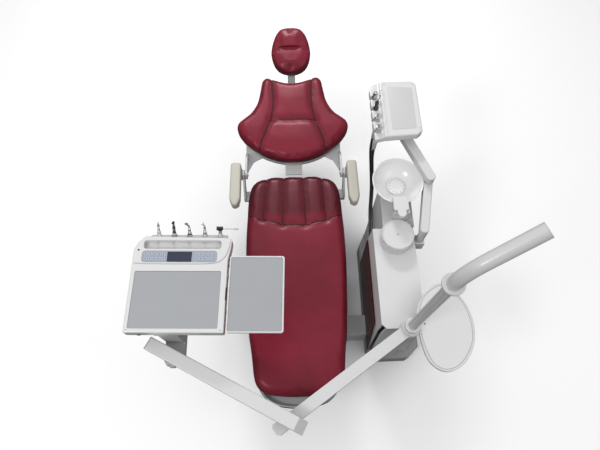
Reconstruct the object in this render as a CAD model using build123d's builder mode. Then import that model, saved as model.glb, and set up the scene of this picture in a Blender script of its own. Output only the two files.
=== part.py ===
from build123d import *
from math import sin, cos, tan, pi, radians, degrees, atan2, hypot
import os

os.makedirs("parts", exist_ok=True)

# Dental treatment unit: patient chair on a parallelogram lift, joined by a floor
# duct to a tower that carries the spittoon, the delivery arm with the dentist's
# tray, the assistant's arm, a small oval tray and the operating-light post.
# Millimetres. +Z up, +Y towards the headrest, +X towards the tower.
# Origin: centre of the floor bolt pattern, on the floor.

# ---------------------------------------------------------------- driving sizes
FLOOR_T = 12                    # base plate thickness
BOLT_X, BOLT_Y, BOLT_R = 320, 660, 7

LIFT_L, LIFT_A0 = 480, 20       # lift arm pin-to-pin length and rest angle
A1Y, A1Z = 260, 100             # lower pin of the lift arm
A2Y, A2Z = 260, 190             # lower pin of the levelling links
B1Y = A1Y - LIFT_L * cos(radians(LIFT_A0))
B1Z = A1Z + LIFT_L * sin(radians(LIFT_A0))
B2Y = A2Y - LIFT_L * cos(radians(LIFT_A0))
B2Z = A2Z + LIFT_L * sin(radians(LIFT_A0))
PIN_R, RUN = 12.5, 0.05         # pin radius, radial running clearance
OPEN_R = 13.5                   # upper eye of the levelling links (open pivot)

SEAT_Z0, SEAT_Z1 = 490, 560     # seat cushion, bottom and top
SHELL_Z0 = 450                  # underside of the seat shell
RAIL_Z0 = 415                   # underside of the seat frame rails

HY, HZ = 600, 550               # recline axis
RECLINE = 8                     # rest angle of the backrest above horizontal
BACK_Z0, BACK_Z1 = -25, 55      # back cushion, in the backrest's own plane
STEM_Y = 705                    # headrest hinge along the backrest
HEAD_TILT = 22

PX, PY = 491, -315              # tower post
EX, EY = -46, -677              # elbow of the delivery arm
ARM2_A = 151.6                  # heading of the upper delivery arm
ARM2_T = 527                    # elbow to tray swivel
ARM2_END = 665                  # elbow to the end of the arm cover
TX = EX + ARM2_T * cos(radians(ARM2_A))
TY = EY + ARM2_T * sin(radians(ARM2_A))
A1_Z0, A1_Z1 = 735, 787         # swing arm
A2_Z0, A2_Z1 = 812, 872         # pantograph arm
TRAY_Z0, TRAY_Z1 = 952, 1000    # dentist's tray
TRAY_X, TRAY_Y, TRAY_ROT = -481, -150, -1.8

TOWER_TOP = 720
COL_TOP = 745
BOWL_X, BOWL_Y, BOWL_R, BOWL_Z = 500, 382, 124, 845
CUP_X, CUP_Y, CUP_R, CUP_Z = 482, 125, 76, 792
P1X, P1Y = 598, 128             # assistant's arm, tower end
P2X, P2Y = 648, 378             # assistant's arm, elbow
HOSE_D = 14


def yz(x):
    """Sketch plane across the chair: sketch x runs along Y, sketch y along Z."""
    return Plane(origin=(x, 0, 0), x_dir=(0, 1, 0), z_dir=(1, 0, 0))


def mirrored_line(pts):
    """Closed list of points from a right-hand half outline, bottom to top."""
    return pts + [(-x, y) for x, y in reversed(pts) if abs(x) > 1e-6]


# ================================================================ chair base
with BuildPart() as base_plate:
    with BuildSketch(Plane.XY.offset(0)):
        with Locations((0, 25)):
            RectangleRounded(400, 850, 50)
    extrude(amount=FLOOR_T)
    chamfer(base_plate.edges().group_by(Axis.Z)[-1], 3)
    with Locations((0, 0, FLOOR_T)):
        with GridLocations(BOLT_X, BOLT_Y, 2, 2):
            Hole(BOLT_R, FLOOR_T)
base_plate.part.label = "base_plate"

# two cheeks on a floor flange carry the lower pins of the lift
with BuildPart() as base_bracket:
    with BuildSketch(Plane.XY.offset(FLOOR_T)):
        with Locations((0, 260)):
            Rectangle(284, 170)
    extrude(amount=12)
    for s in (-1, 1):
        with BuildSketch(yz(s * 134)):
            with BuildLine():
                Polyline((178, 24), (342, 24), (292, A2Z), (228, A2Z), close=True)
            make_face()
            with Locations((A2Y, A2Z)):
                Circle(32)
            with Locations((A1Y, A1Z), (A2Y, A2Z)):
                Circle(PIN_R, mode=Mode.SUBTRACT)
        extrude(amount=6, both=True)
base_bracket.part.label = "base_bracket"

with BuildPart() as base_pins:
    with BuildSketch(yz(0)):
        with Locations((A1Y, A1Z)):
            Circle(PIN_R)
    extrude(amount=150, both=True)
    for s in (-1, 1):
        with BuildSketch(yz(s * 127)):
            with Locations((A2Y, A2Z)):
                Circle(PIN_R)
        extrude(amount=20, both=True)
base_pins.part.label = "base_pins"

# shroud over the lower hinge, open towards the feet and underneath
with BuildPart() as base_cover:
    with BuildSketch(yz(0)):
        with BuildLine():
            Polyline((-335, FLOOR_T), (430, FLOOR_T), (412, 300), (196, 300),
                     (60, 130), (-320, 96), close=True)
        make_face()
    extrude(amount=185, both=True)
    fillet(base_cover.edges().filter_by(GeomType.LINE).group_by(Axis.Z)[-1], 16)
    with BuildSketch(yz(0)):
        with BuildLine():
            Polyline((-330, FLOOR_T - 2), (425, FLOOR_T - 2), (407, 295), (198, 295),
                     (63, 125), (-316, 91), close=True)
        make_face()
    extrude(amount=180, both=True, mode=Mode.SUBTRACT)
    # slot in the sloping front where the arms come out
    with Locations((0, 128, 220)):
        Box(296, 226, 250, mode=Mode.SUBTRACT)
    with Locations((0, -90, 130)):
        Box(296, 240, 90, mode=Mode.SUBTRACT)
base_cover.part.label = "base_cover"

# hydraulic power unit inside the shroud
with BuildPart() as pump_unit:
    with Locations((-160, 380, FLOOR_T + 2)):
        Box(34, 70, 90, align=(Align.CENTER, Align.CENTER, Align.MIN))
    with Locations((0, 382, FLOOR_T)):
        Box(300, 60, 70, align=(Align.CENTER, Align.CENTER, Align.MIN))
    with Locations((60, 382, FLOOR_T + 70)):
        Cylinder(28, 110, align=(Align.CENTER, Align.CENTER, Align.MIN))
    with Locations((-60, 382, FLOOR_T + 70)):
        Cylinder(24, 80, align=(Align.CENTER, Align.CENTER, Align.MIN))
pump_unit.part.label = "pump_unit"

# duct on the floor from the chair base to the tower
with BuildPart() as link_duct:
    with Locations((317, -165, 12)):
        Box(262, 117, 146, align=(Align.CENTER, Align.CENTER, Align.MIN))
    fillet(link_duct.edges().filter_by(Axis.X).group_by(Axis.Z)[-1], 12)
    with Locations((317, -165, 17)):
        Box(264, 107, 131, align=(Align.CENTER, Align.CENTER, Align.MIN), mode=Mode.SUBTRACT)
link_duct.part.label = "link_duct"

# ================================================================ lift
a0 = radians(180 - LIFT_A0)
LM = ((A1Y + B1Y) / 2, (A1Z + B1Z) / 2)
with BuildPart() as lift_arm:
    with BuildSketch(yz(0)):
        with Locations(Location((LM[0], LM[1], 0), (0, 0, -LIFT_A0))):
            SlotCenterToCenter(LIFT_L, 64)
        with Locations((A1Y, A1Z), (B1Y, B1Z)):
            Circle(PIN_R + RUN, mode=Mode.SUBTRACT)
    extrude(amount=100, both=True)
    # channel section between the two bosses, open below
    with BuildSketch(Plane(origin=(0, LM[0], LM[1]), x_dir=(1, 0, 0),
                           z_dir=(0, sin(radians(LIFT_A0)), cos(radians(LIFT_A0))))):
        Rectangle(180, LIFT_L - 90)
    extrude(amount=22, both=False, mode=Mode.SUBTRACT)
    with BuildSketch(Plane(origin=(0, LM[0], LM[1]), x_dir=(1, 0, 0),
                           z_dir=(0, sin(radians(LIFT_A0)), cos(radians(LIFT_A0))))):
        Rectangle(180, LIFT_L - 90)
    extrude(amount=-40, mode=Mode.SUBTRACT)
lift_arm.part.label = "lift_arm"

with BuildPart() as tie_links:
    for s in (-1, 1):
        with BuildSketch(yz(s * 116)):
            with Locations(Location(((A2Y + B2Y) / 2, (A2Z + B2Z) / 2, 0), (0, 0, -LIFT_A0))):
                SlotCenterToCenter(LIFT_L, 44)
            with Locations((A2Y, A2Z)):
                Circle(PIN_R + RUN, mode=Mode.SUBTRACT)
            with Locations((B2Y, B2Z)):
                Circle(OPEN_R, mode=Mode.SUBTRACT)
        extrude(amount=6, both=True)
tie_links.part.label = "tie_links"

# ================================================================ seat frame
with BuildPart() as seat_frame:
    for s in (-1, 1):
        with Locations((s * 160, 55, RAIL_Z0)):
            Box(40, 980, 35, align=(Align.CENTER, Align.CENTER, Align.MIN))
        with BuildSketch(yz(s * 134)):
            with BuildLine():
                Polyline((B1Y - 34, B1Z), (B1Y - 60, RAIL_Z0 + 35), (B1Y + 60, RAIL_Z0 + 35),
                         (B1Y + 34, B1Z), close=True)
            make_face()
            with Locations((B1Y, B1Z)):
                Circle(34)
            with Locations((B1Y, B1Z), (B2Y, B2Z)):
                Circle(PIN_R, mode=Mode.SUBTRACT)
        extrude(amount=6.0, both=True)
    for y in (-420, -60, 330, 530):
        with Locations((0, y, RAIL_Z0 + 3)):
            Box(281, 30, 29, align=(Align.CENTER, Align.CENTER, Align.MIN))
seat_frame.part.label = "seat_frame"

with BuildPart() as carrier_pins:
    with BuildSketch(yz(0)):
        with Locations((B1Y, B1Z)):
            Circle(PIN_R)
    extrude(amount=146, both=True)
    for s in (-1, 1):
        with BuildSketch(yz(s * 126)):
            with Locations((B2Y, B2Z)):
                Circle(PIN_R)
        extrude(amount=19, both=True)
carrier_pins.part.label = "carrier_pins"

# outline of the one-piece seat and leg-rest cushion, right-hand half
SEAT_HALF = [(0, -579), (95, -573), (168, -556), (208, -522), (224, -470), (236, -380),
             (252, -250), (264, -60), (270, 120), (269, 280), (264, 400), (253, 500),
             (225, 557), (169, 588), (90, 598), (0, 600)]


def smooth_outline(half):
    """Closed smooth outline from its right-hand half, symmetric about X = 0."""
    Spline(*half, tangents=((1, 0), (-1, 0)))


with BuildPart() as seat_cushion:
    with BuildSketch(Plane.XY.offset(SEAT_Z0)) as seat_sk:
        with BuildLine():
            Spline(*SEAT_HALF, tangents=((1, 0), (-1, 0)))
            Line((0, 600), (0, -579))
        make_face()
        mirror(about=Plane.YZ)
    extrude(amount=SEAT_Z1 - SEAT_Z0)
seat_cushion.part.label = "seat_cushion"

SHELL_HALF = [(0, -612), (62, -608), (118, -594), (158, -568), (189, -525), (209, -465), (223, -380),
              (245, -250), (257, -60), (263, 120), (262, 280), (256, 400), (243, 485),
              (212, 536), (160, 562), (90, 568), (0, 569)]
SHELL_IN = [(0, -606), (60, -602), (115, -588), (154, -563), (184, -521), (203, -464), (217, -380),
            (239, -250), (251, -60), (257, 120), (256, 280), (250, 400), (237, 482),
            (208, 531), (158, 556), (90, 562), (0, 563)]
with BuildPart() as seat_shell:
    with BuildSketch(Plane.XY.offset(SHELL_Z0)):
        with BuildLine():
            Spline(*SHELL_HALF, tangents=((1, 0), (-1, 0)))
            Line((0, 569), (0, -612))
        make_face()
        mirror(about=Plane.YZ)
    extrude(amount=SEAT_Z0 - SHELL_Z0)
    with BuildSketch(Plane.XY.offset(SHELL_Z0 + 6)):
        with BuildLine():
            Spline(*SHELL_IN, tangents=((1, 0), (-1, 0)))
            Line((0, 563), (0, -606))
        make_face()
        mirror(about=Plane.YZ)
    extrude(amount=SEAT_Z0 - SHELL_Z0, mode=Mode.SUBTRACT)
seat_shell.part.label = "seat_shell"

# hinge plates, one on each side of the seat, carried by outriggers from the frame
with BuildPart() as hinge_plates:
    for s in (-1, 1):
        with Locations((s * 231, 520, 428)):
            Box(102, 56, 22, align=(Align.CENTER, Align.CENTER, Align.MIN))
        with BuildSketch(yz(s * 277)):
            with BuildLine():
                Polyline((492, 428), (560, 428), (HY + 27, HZ), (HY - 27, HZ), (492, 470), close=True)
            make_face()
            with Locations((HY, HZ)):
                Circle(27)
            with Locations((HY, HZ)):
                Circle(10, mode=Mode.SUBTRACT)
        extrude(amount=5, both=True)
hinge_plates.part.label = "hinge_plates"

with BuildPart() as recline_pins:
    for s in (-1, 1):
        with BuildSketch(yz(s * 279)):
            with Locations((HY, HZ)):
                Circle(10)
        extrude(amount=27, both=True)
recline_pins.part.label = "recline_pins"

# ================================================================ backrest
BT = radians(RECLINE)


def back_plane(z):
    """Plane parallel to the backrest, z above the recline axis, sketch y up the back."""
    return Plane(origin=(0, HY - z * sin(BT), HZ + z * cos(BT)), x_dir=(1, 0, 0),
                 z_dir=(0, -sin(BT), cos(BT)))


def back_side(x):
    """Plane across the backrest at x, sketch x up the back, sketch y out of it."""
    return Plane(origin=(x, HY, HZ), x_dir=(0, cos(BT), sin(BT)), z_dir=(1, 0, 0))


BACK_HALF = [(0, 56), (90, 68), (182, 106), (250, 158), (300, 215), (319, 262), (310, 298),
             (280, 330), (238, 370), (205, 432), (190, 500), (178, 556), (160, 580),
             (138, 587), (106, 580), (56, 562), (0, 553)]
with BuildPart() as back_cushion:
    with BuildSketch(back_plane(BACK_Z0)):
        with BuildLine():
            Spline(*BACK_HALF, tangents=((1, 0), (-1, 0)))
            Line((0, 553), (0, 56))
        make_face()
        mirror(about=Plane.YZ)
    extrude(amount=BACK_Z1 - BACK_Z0)
back_cushion.part.label = "back_cushion"

BSH = [(0, 70), (88, 82), (176, 118), (240, 170), (286, 224), (303, 262), (294, 290),
       (266, 318), (224, 360), (191, 426), (176, 496), (166, 545), (152, 566),
       (136, 572), (106, 566), (56, 549), (0, 541)]
BSI = [(0, 76), (86, 88), (172, 123), (235, 174), (280, 226), (296, 262), (288, 286),
       (261, 313), (219, 356), (185, 424), (170, 495), (160, 541), (148, 560),
       (135, 566), (106, 560), (56, 543), (0, 535)]
with BuildPart() as back_shell:
    with BuildSketch(back_plane(-50)):
        with BuildLine():
            Spline(*BSH, tangents=((1, 0), (-1, 0)))
            Line((0, 541), (0, 70))
        make_face()
        mirror(about=Plane.YZ)
    extrude(amount=25)
    with BuildSketch(back_plane(-45)):
        with BuildLine():
            Spline(*BSI, tangents=((1, 0), (-1, 0)))
            Line((0, 535), (0, 76))
        make_face()
        mirror(about=Plane.YZ)
    extrude(amount=25, mode=Mode.SUBTRACT)
back_shell.part.label = "back_shell"

# cross plate with spine behind the shell, and the two side brackets to the hinge
with BuildPart() as back_frame:
    with BuildSketch(back_plane(-58)):
        with BuildLine():
            Polyline((0, 14), (47, 14), (47, 150), (150, 135), (226, 96), (256, 40), (268, 40),
                     (268, 232), (232, 262), (70, 320), (47, 560), (0, 560))
            Line((0, 560), (0, 14))
        make_face()
        mirror(about=Plane.YZ)
    extrude(amount=8)
    for s in (-1, 1):
        with BuildSketch(back_side(s * 262)):
            with BuildLine():
                Polyline((-16, -20), (40, -58), (232, -58), (232, -50), (150, -50), (100, 14),
                         (0, 24), close=True)
            make_face()
            Circle(25)
            Circle(10.05, mode=Mode.SUBTRACT)
        extrude(amount=6, both=True)
    # guide channel for the headrest stem on the rear face
    for s in (-1, 1):
        with BuildSketch(back_plane(-80)):
            with Locations((s * 30, 500)):
                Rectangle(12, 110)
        extrude(amount=22)
    with BuildSketch(back_plane(-80)):
        with Locations((0, 500)):
            Rectangle(72, 110)
    extrude(amount=5)
back_frame.part.label = "back_frame"

# ================================================================ headrest
with BuildPart() as headrest_stem:
    with BuildSketch(back_plane(-73)):
        with Locations((0, (370 + STEM_Y - 18) / 2)):
            Rectangle(44, STEM_Y - 18 - 370)
    extrude(amount=11)
    with BuildSketch(back_side(0)):
        with Locations((STEM_Y, -67)):
            Circle(15)
        with Locations((STEM_Y - 12, -67.5)):
            Rectangle(20, 11)
        with Locations((STEM_Y, -67)):
            Circle(6.05, mode=Mode.SUBTRACT)
    extrude(amount=13, both=True)
headrest_stem.part.label = "headrest_stem"

SH_Y = HY + STEM_Y * cos(BT) + 67 * sin(BT)       # headrest tilt axis
SH_Z = HZ + STEM_Y * sin(BT) - 67 * cos(BT)
HC_Y, HC_Z = 1330, 700                             # middle of the head cushion
HT = radians(HEAD_TILT)


def head_plane(z):
    return Plane(origin=(0, HC_Y - z * sin(HT), HC_Z + z * cos(HT)), x_dir=(1, 0, 0),
                 z_dir=(0, -sin(HT), cos(HT)))


with BuildPart() as headrest_bracket:
    with BuildSketch(head_plane(-62)):
        with Locations((0, -10)):
            RectangleRounded(130, 150, 30)
    extrude(amount=17)
    for s in (-1, 1):
        with BuildSketch(yz(s * 20)):
            with BuildLine():
                Polyline((SH_Y - 15, SH_Z), (HC_Y - 40 * cos(HT) + 55 * sin(HT), HC_Z - 40 * sin(HT) - 55 * cos(HT)),
                         (HC_Y + 30 * cos(HT) + 55 * sin(HT), HC_Z + 30 * sin(HT) - 55 * cos(HT)),
                         (SH_Y + 15, SH_Z), close=True)
            make_face()
            with Locations((SH_Y, SH_Z)):
                Circle(15)
        extrude(amount=6, both=True)
    with BuildSketch(yz(0)):
        with Locations((SH_Y, SH_Z)):
            Circle(6)
    extrude(amount=26, both=True)
headrest_bracket.part.label = "headrest_bracket"

HEAD_HALF = [(0, -133), (38, -130), (74, -112), (100, -78), (113, -32), (112, 4), (104, 48),
             (88, 92), (62, 124), (34, 134), (0, 136)]
with BuildPart() as headrest_cushion:
    with BuildSketch(head_plane(-45)):
        with BuildLine():
            Spline(*HEAD_HALF, tangents=((1, 0), (-1, 0)))
            Line((0, 136), (0, -133))
        make_face()
        mirror(about=Plane.YZ)
    extrude(amount=85)
headrest_cushion.part.label = "headrest_cushion"

# ================================================================ armrests
def armrest(s):
    with BuildPart() as arm:
        with BuildSketch(yz(s * 293)):
            with BuildLine():
                Polyline((HY - 28, HZ + 8), (536, 645), (362, 645), (352, 655), (352, 665), (578, 665),
                         (598, 650), (HY + 28, HZ + 8), close=True)
            make_face()
            with Locations((HY, HZ)):
                Circle(30)
            with Locations((HY, HZ)):
                Circle(10.05, mode=Mode.SUBTRACT)
        extrude(amount=8, both=True)
    return arm.part


def armpad(s):
    with BuildPart() as pad:
        with BuildSketch(Plane.XY.offset(665)):
            with BuildLine():
                Polyline((s * 273, 585), (s * 329, 585), (s * 332, 372), (s * 318, 338),
                         (s * 303, 330), (s * 288, 338), (s * 274, 372), close=True)
            make_face()
        extrude(amount=55)
        fillet(pad.edges().filter_by(Axis.Z), 6)
        fillet(pad.edges().group_by(Axis.Z)[-1], 10)
    return pad.part


armrest_left = armrest(-1)
armrest_left.label = "armrest_left"
armrest_right = armrest(1)
armrest_right.label = "armrest_right"
armrest_pad_left = armpad(-1)
armrest_pad_left.label = "armrest_pad_left"
armrest_pad_right = armpad(1)
armrest_pad_right.label = "armrest_pad_right"

# ================================================================ tower
with BuildPart() as tower_plinth:
    with BuildSketch(Plane.XY):
        with BuildLine():
            Polyline((386, -300), (386, 330), (430, 420), (600, 420), (676, 340), (676, -285),
                     (611, -346), (455, -348), close=True)
        make_face()
    extrude(amount=110)
    chamfer(tower_plinth.edges().group_by(Axis.Z)[-1], 8)
    with BuildSketch(Plane.XY):
        with BuildLine():
            Polyline((392, -297), (392, 328), (434, 414), (597, 414), (670, 338), (670, -282),
                     (608, -340), (458, -342), close=True)
        make_face()
    extrude(amount=103, mode=Mode.SUBTRACT)
    with Locations((400, -165, 10)):
        Box(100, 121, 110, align=(Align.CENTER, Align.CENTER, Align.MIN), mode=Mode.SUBTRACT)
tower_plinth.part.label = "tower_plinth"

with BuildPart() as tower_body:
    with BuildSketch(Plane(origin=(0, -304, 0), x_dir=(1, 0, 0), z_dir=(0, -1, 0))):
        with BuildLine():
            Polyline((390, 110), (370.5, 600), (377, TOWER_TOP), (574, TOWER_TOP), (622, 110), close=True)
        make_face()
    extrude(amount=-489)
    chamfer(tower_body.edges().filter_by(GeomType.LINE).group_by(Axis.Y)[0]
            .filter_by(lambda e: abs(e.tangent_at(0.5).Z) > 0.9), 22)
    with Locations((499, 292, 110)):
        Box(150, 216, COL_TOP - 110, align=(Align.CENTER, Align.CENTER, Align.MIN))
    with Locations((CUP_X, CUP_Y, 700)):
        Cylinder(CUP_R + 2, CUP_Z - 8 - 700, align=(Align.CENTER, Align.CENTER, Align.MIN))
    with Locations((BOWL_X, BOWL_Y - 14, COL_TOP - 20)):
        Cylinder(58, 39, align=(Align.CENTER, Align.CENTER, Align.MIN))
    # hollow inside
    with BuildSketch(Plane(origin=(0, -298, 0), x_dir=(1, 0, 0), z_dir=(0, -1, 0))):
        with BuildLine():
            Polyline((395.5, 110), (376.5, 600), (382, TOWER_TOP - 6), (569, TOWER_TOP - 6), (616, 110), close=True)
        make_face()
    extrude(amount=-477, mode=Mode.SUBTRACT)
    with Locations((499, 292, 110)):
        Box(138, 204, COL_TOP - 116, align=(Align.CENTER, Align.CENTER, Align.MIN), mode=Mode.SUBTRACT)
    # pocket for the assistant's bracket, window behind the tinted panel, duct passage
    with Locations((601, P1Y, 640)):
        Box(46, 48, 66, align=(Align.CENTER, Align.CENTER, Align.MIN), mode=Mode.SUBTRACT)
    with Locations((385, -35, 150)):
        Box(60, 370, 420, align=(Align.CENTER, Align.CENTER, Align.MIN), mode=Mode.SUBTRACT)
    with Locations((400, -165, 100)):
        Box(100, 121, 61, align=(Align.CENTER, Align.CENTER, Align.MIN), mode=Mode.SUBTRACT)
    # seat for the vertical post at the foot end
    with Locations((PX, PY, 110)):
        Cylinder(34, 620, align=(Align.CENTER, Align.CENTER, Align.MIN), mode=Mode.SUBTRACT)
tower_body.part.label = "tower_body"

# tinted side panel on the chair side
PAN = Plane(origin=(386, 0, 50), x_dir=(0, 1, 0), z_dir=(0.9992, 0, 0.0409))
with BuildPart() as side_panel:
    with BuildSketch(PAN):
        with BuildLine():
            Polyline((-296, 64), (-228, 64), (-228, 112), (-102, 112), (-102, 64), (214, 64), (175, 550),
                     (-246, 550), close=True)
        make_face()
    extrude(amount=4)
side_panel.part.label = "side_panel"

# control box and separator canister inside the tower
with BuildPart() as service_box:
    with Locations((490, 20, 110)):
        Box(110, 200, 300, align=(Align.CENTER, Align.CENTER, Align.MIN))
    with Locations((496, 290, 110)):
        Cylinder(55, 330, align=(Align.CENTER, Align.CENTER, Align.MIN))
service_box.part.label = "service_box"

# ---------------------------------------------------------------- spittoon
with BuildPart() as spittoon_bowl:
    with BuildSketch(Plane(origin=(BOWL_X, BOWL_Y, 0), x_dir=(1, 0, 0), z_dir=(0, -1, 0))):
        with BuildLine():
            Polyline((0, 764), (46, 764), (60, 770), (88, 786), (111, 812), (122, 838), (BOWL_R, BOWL_Z),
                     (118, BOWL_Z), (115, 836), (106, 815), (84, 792), (58, 777), (30, 772), (0, 772), close=True)
        make_face()
    revolve(axis=Axis((BOWL_X, BOWL_Y, 0), (0, 0, 1)))
spittoon_bowl.part.label = "spittoon_bowl"

with BuildPart() as bowl_strainer:
    with BuildSketch(Plane(origin=(BOWL_X, BOWL_Y, 0), x_dir=(1, 0, 0), z_dir=(0, -1, 0))):
        with BuildLine():
            Polyline((0, 772), (27, 772), (28, 777), (43, 786), (34, 792), (18, 796), (0, 797), close=True)
        make_face()
    revolve(axis=Axis((BOWL_X, BOWL_Y, 0), (0, 0, 1)))
bowl_strainer.part.label = "bowl_strainer"

# pillar with the bowl-rinse nozzles and the cup filler
with BuildPart() as spout_block:
    with Locations((498, 218, COL_TOP)):
        Box(76, 30, 108, align=(Align.CENTER, Align.CENTER, Align.MIN))
    with BuildSketch(Plane.XY.offset(852)):
        with Locations((494, 246)):
            RectangleRounded(72, 72, 9)
        with Locations((495, 211)):
            SlotOverall(72, 42, rotation=90)
    extrude(amount=24)
    fillet(spout_block.edges().group_by(Axis.Z)[-1], 5)
    with Locations((495, 192, 838)):
        Cylinder(8, 20, align=(Align.CENTER, Align.CENTER, Align.MIN))
    with Locations((470, 264, 846), (518, 264, 846)):
        Cylinder(5, 8, align=(Align.CENTER, Align.CENTER, Align.MIN))
spout_block.part.label = "spout_block"

with BuildPart() as cup_platform:
    with Locations((CUP_X, CUP_Y, CUP_Z - 8)):
        Cylinder(CUP_R, 8, align=(Align.CENTER, Align.CENTER, Align.MIN))
    with Locations((CUP_X, CUP_Y, CUP_Z - 2)):
        Cylinder(CUP_R - 6, 2, align=(Align.CENTER, Align.CENTER, Align.MIN), mode=Mode.SUBTRACT)
    with Locations((CUP_X, CUP_Y, CUP_Z - 8)):
        Cylinder(3, 10, align=(Align.CENTER, Align.CENTER, Align.MIN), mode=Mode.SUBTRACT)
cup_platform.part.label = "cup_platform"

# ================================================================ assistant's arm

with BuildPart() as assistant_bracket:
    with Locations((601, P1Y, 640)):
        Box(46, 48, 66, align=(Align.CENTER, Align.CENTER, Align.MIN))
    with Locations((P1X + 3, P1Y, 700)):
        Cylinder(19, 98, align=(Align.CENTER, Align.CENTER, Align.MIN))
assistant_bracket.part.label = "assistant_bracket"

with BuildPart() as assistant_lower_arm:
    with BuildSketch(Plane.XY.offset(798)):
        with Locations(Location(((P1X + P2X) / 2, (P1Y + P2Y) / 2, 0),
                                (0, 0, degrees(atan2(P2Y - P1Y, P2X - P1X))))):
            SlotCenterToCenter(hypot(P2X - P1X, P2Y - P1Y), 42)
    extrude(amount=44)
    fillet(assistant_lower_arm.edges().group_by(Axis.Z)[-1], 6)
    with Locations((P2X, P2Y, 842)):
        Cylinder(12, 36, align=(Align.CENTER, Align.CENTER, Align.MIN))
    with Locations((P2X, P2Y, 842)):
        Cylinder(18, 6, align=(Align.CENTER, Align.CENTER, Align.MIN))
assistant_lower_arm.part.label = "assistant_lower_arm"

UEX, UEY = 552, 618                # holder end of the upper arm
with BuildPart() as assistant_upper_arm:
    with BuildSketch(Plane.XY.offset(848)):
        with Locations(Location(((UEX + P2X) / 2, (UEY + P2Y) / 2, 0),
                                (0, 0, degrees(atan2(P2Y - UEY, P2X - UEX))))):
            SlotCenterToCenter(hypot(P2X - UEX, P2Y - UEY), 46)
    extrude(amount=42)
    fillet(assistant_upper_arm.edges().group_by(Axis.Z)[-1], 6)
    with Locations((P2X, P2Y, 848)):
        Cylinder(12.05, 32, align=(Align.CENTER, Align.CENTER, Align.MIN), mode=Mode.SUBTRACT)
assistant_upper_arm.part.label = "assistant_upper_arm"

with BuildPart() as assistant_holder:
    with BuildSketch(Plane.XY.offset(890)):
        with BuildLine():
            Polyline((430, 866), (596, 866), (613, 848), (614, 572), (590, 551), (430, 541), close=True)
        make_face()
    extrude(amount=90)
    fillet(assistant_holder.edges().group_by(Axis.Z)[-1], 10)
    with BuildSketch(Plane.XY.offset(935)):
        with BuildLine():
            Polyline((381, 826), (405, 856), (432, 862), (432, 545), (384, 527), close=True)
        make_face()
    extrude(amount=38)
    with BuildSketch(Plane.XY.offset(890)):
        with Locations((522, 703)):
            Rectangle(170, 300)
    extrude(amount=82, mode=Mode.SUBTRACT)
    with BuildSketch(Plane.XY.offset(890)):
        with Locations((522, 614)):
            Rectangle(176, 110)
    extrude(amount=8)
    # open-sided slots for the handpieces
    for y in (583, 647, 711, 775):
        with BuildSketch(Plane.XY.offset(930)):
            with Locations((404, y)):
                Circle(11.5)
            with Locations((384, y)):
                Rectangle(40, 16)
        extrude(amount=50, mode=Mode.SUBTRACT)
assistant_holder.part.label = "assistant_holder"


def handpiece(x, y, z0, z1, r0, r1, tip):
    """Turned suction handpiece: hose spigot below, body, lever collar and tip."""
    with BuildPart() as hp:
        with BuildSketch(Plane(origin=(x, y, 0), x_dir=(1, 0, 0), z_dir=(0, -1, 0))):
            with BuildLine():
                Polyline((0, z0), (r0 - 2, z0), (r0, z0 + 6), (r0, 934 - 8), (r0, 934), (r1, 934),
                         (r1, 973), (r1 + 3.2, 973), (r1 + 3.2, 984), (r1, 988), (r1 - 2, z1 - tip),
                         (r1 - 4, z1), (0, z1), close=True)
            make_face()
        revolve(axis=Axis((x, y, 0), (0, 0, 1)))
    return hp.part


suction_handpiece = handpiece(404, 583, 815, 1030, 9.5, 10.5, 25)
suction_handpiece.label = "suction_handpiece"
saliva_handpiece = handpiece(404, 647, 815, 1025, 8.5, 9.5, 25)
saliva_handpiece.label = "saliva_handpiece"


# ---------------------------------------------------------------- suction hoses
def corner_radii(pts):
    out = []
    for a, b, c in zip(pts, pts[1:], pts[2:]):
        u, v = Vector(*b) - Vector(*a), Vector(*c) - Vector(*b)
        half = radians(u.get_angle(v)) / 2
        out.append(0.45 * min(u.length, v.length) / tan(half))
    return out


def hose(pts, d):
    r = corner_radii(pts)
    with BuildPart() as h:
        with BuildLine() as path:
            FilletPolyline(*pts, radius=r)
        with BuildSketch(Plane(origin=pts[0], z_dir=Vector(*pts[1]) - Vector(*pts[0]))):
            Circle(d / 2)
        sweep(path=path.line)
    length = sum(e.length for e in path.edges())
    print("hose radii", [round(x) for x in r], "length", round(length),
          "volume/expected", round(h.part.volume / (pi * d * d / 4 * length), 4))
    return h.part


HOSE_A = [(404, 583, 814), (405, 582, 770), (409, 578, 722), (415, 569, 674), (420, 553, 630),
          (424, 529, 590), (425, 496, 556), (422, 456, 532), (416, 412, 519), (412, 366, 515),
          (408, 320, 519), (405, 274, 529), (401, 230, 541), (398, 187, 549)]
HOSE_B = [(404, 647, 814), (404, 646, 768), (406, 642, 718), (411, 634, 668), (417, 619, 620),
          (422, 597, 575), (426, 566, 535), (427, 528, 503), (424, 484, 480), (418, 438, 466),
          (413, 391, 461), (409, 344, 464), (406, 297, 473), (401, 250, 485), (398, 218, 490), (397, 187, 493)]
suction_hose = hose(HOSE_A, HOSE_D)
suction_hose.label = "suction_hose"
saliva_hose = hose(HOSE_B, HOSE_D)
saliva_hose.label = "saliva_hose"

# ================================================================ delivery arm
with BuildPart() as arm_post:
    with Locations((PX, PY, 110)):
        Cylinder(30, 700, align=(Align.CENTER, Align.CENTER, Align.MIN))
    with Locations((PX, PY, 722)):
        Cylinder(41, 13, align=(Align.CENTER, Align.CENTER, Align.MIN))
    with Locations((PX, PY, 110)):
        Cylinder(24, 700, align=(Align.CENTER, Align.CENTER, Align.MIN), mode=Mode.SUBTRACT)
arm_post.part.label = "arm_post"

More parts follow.
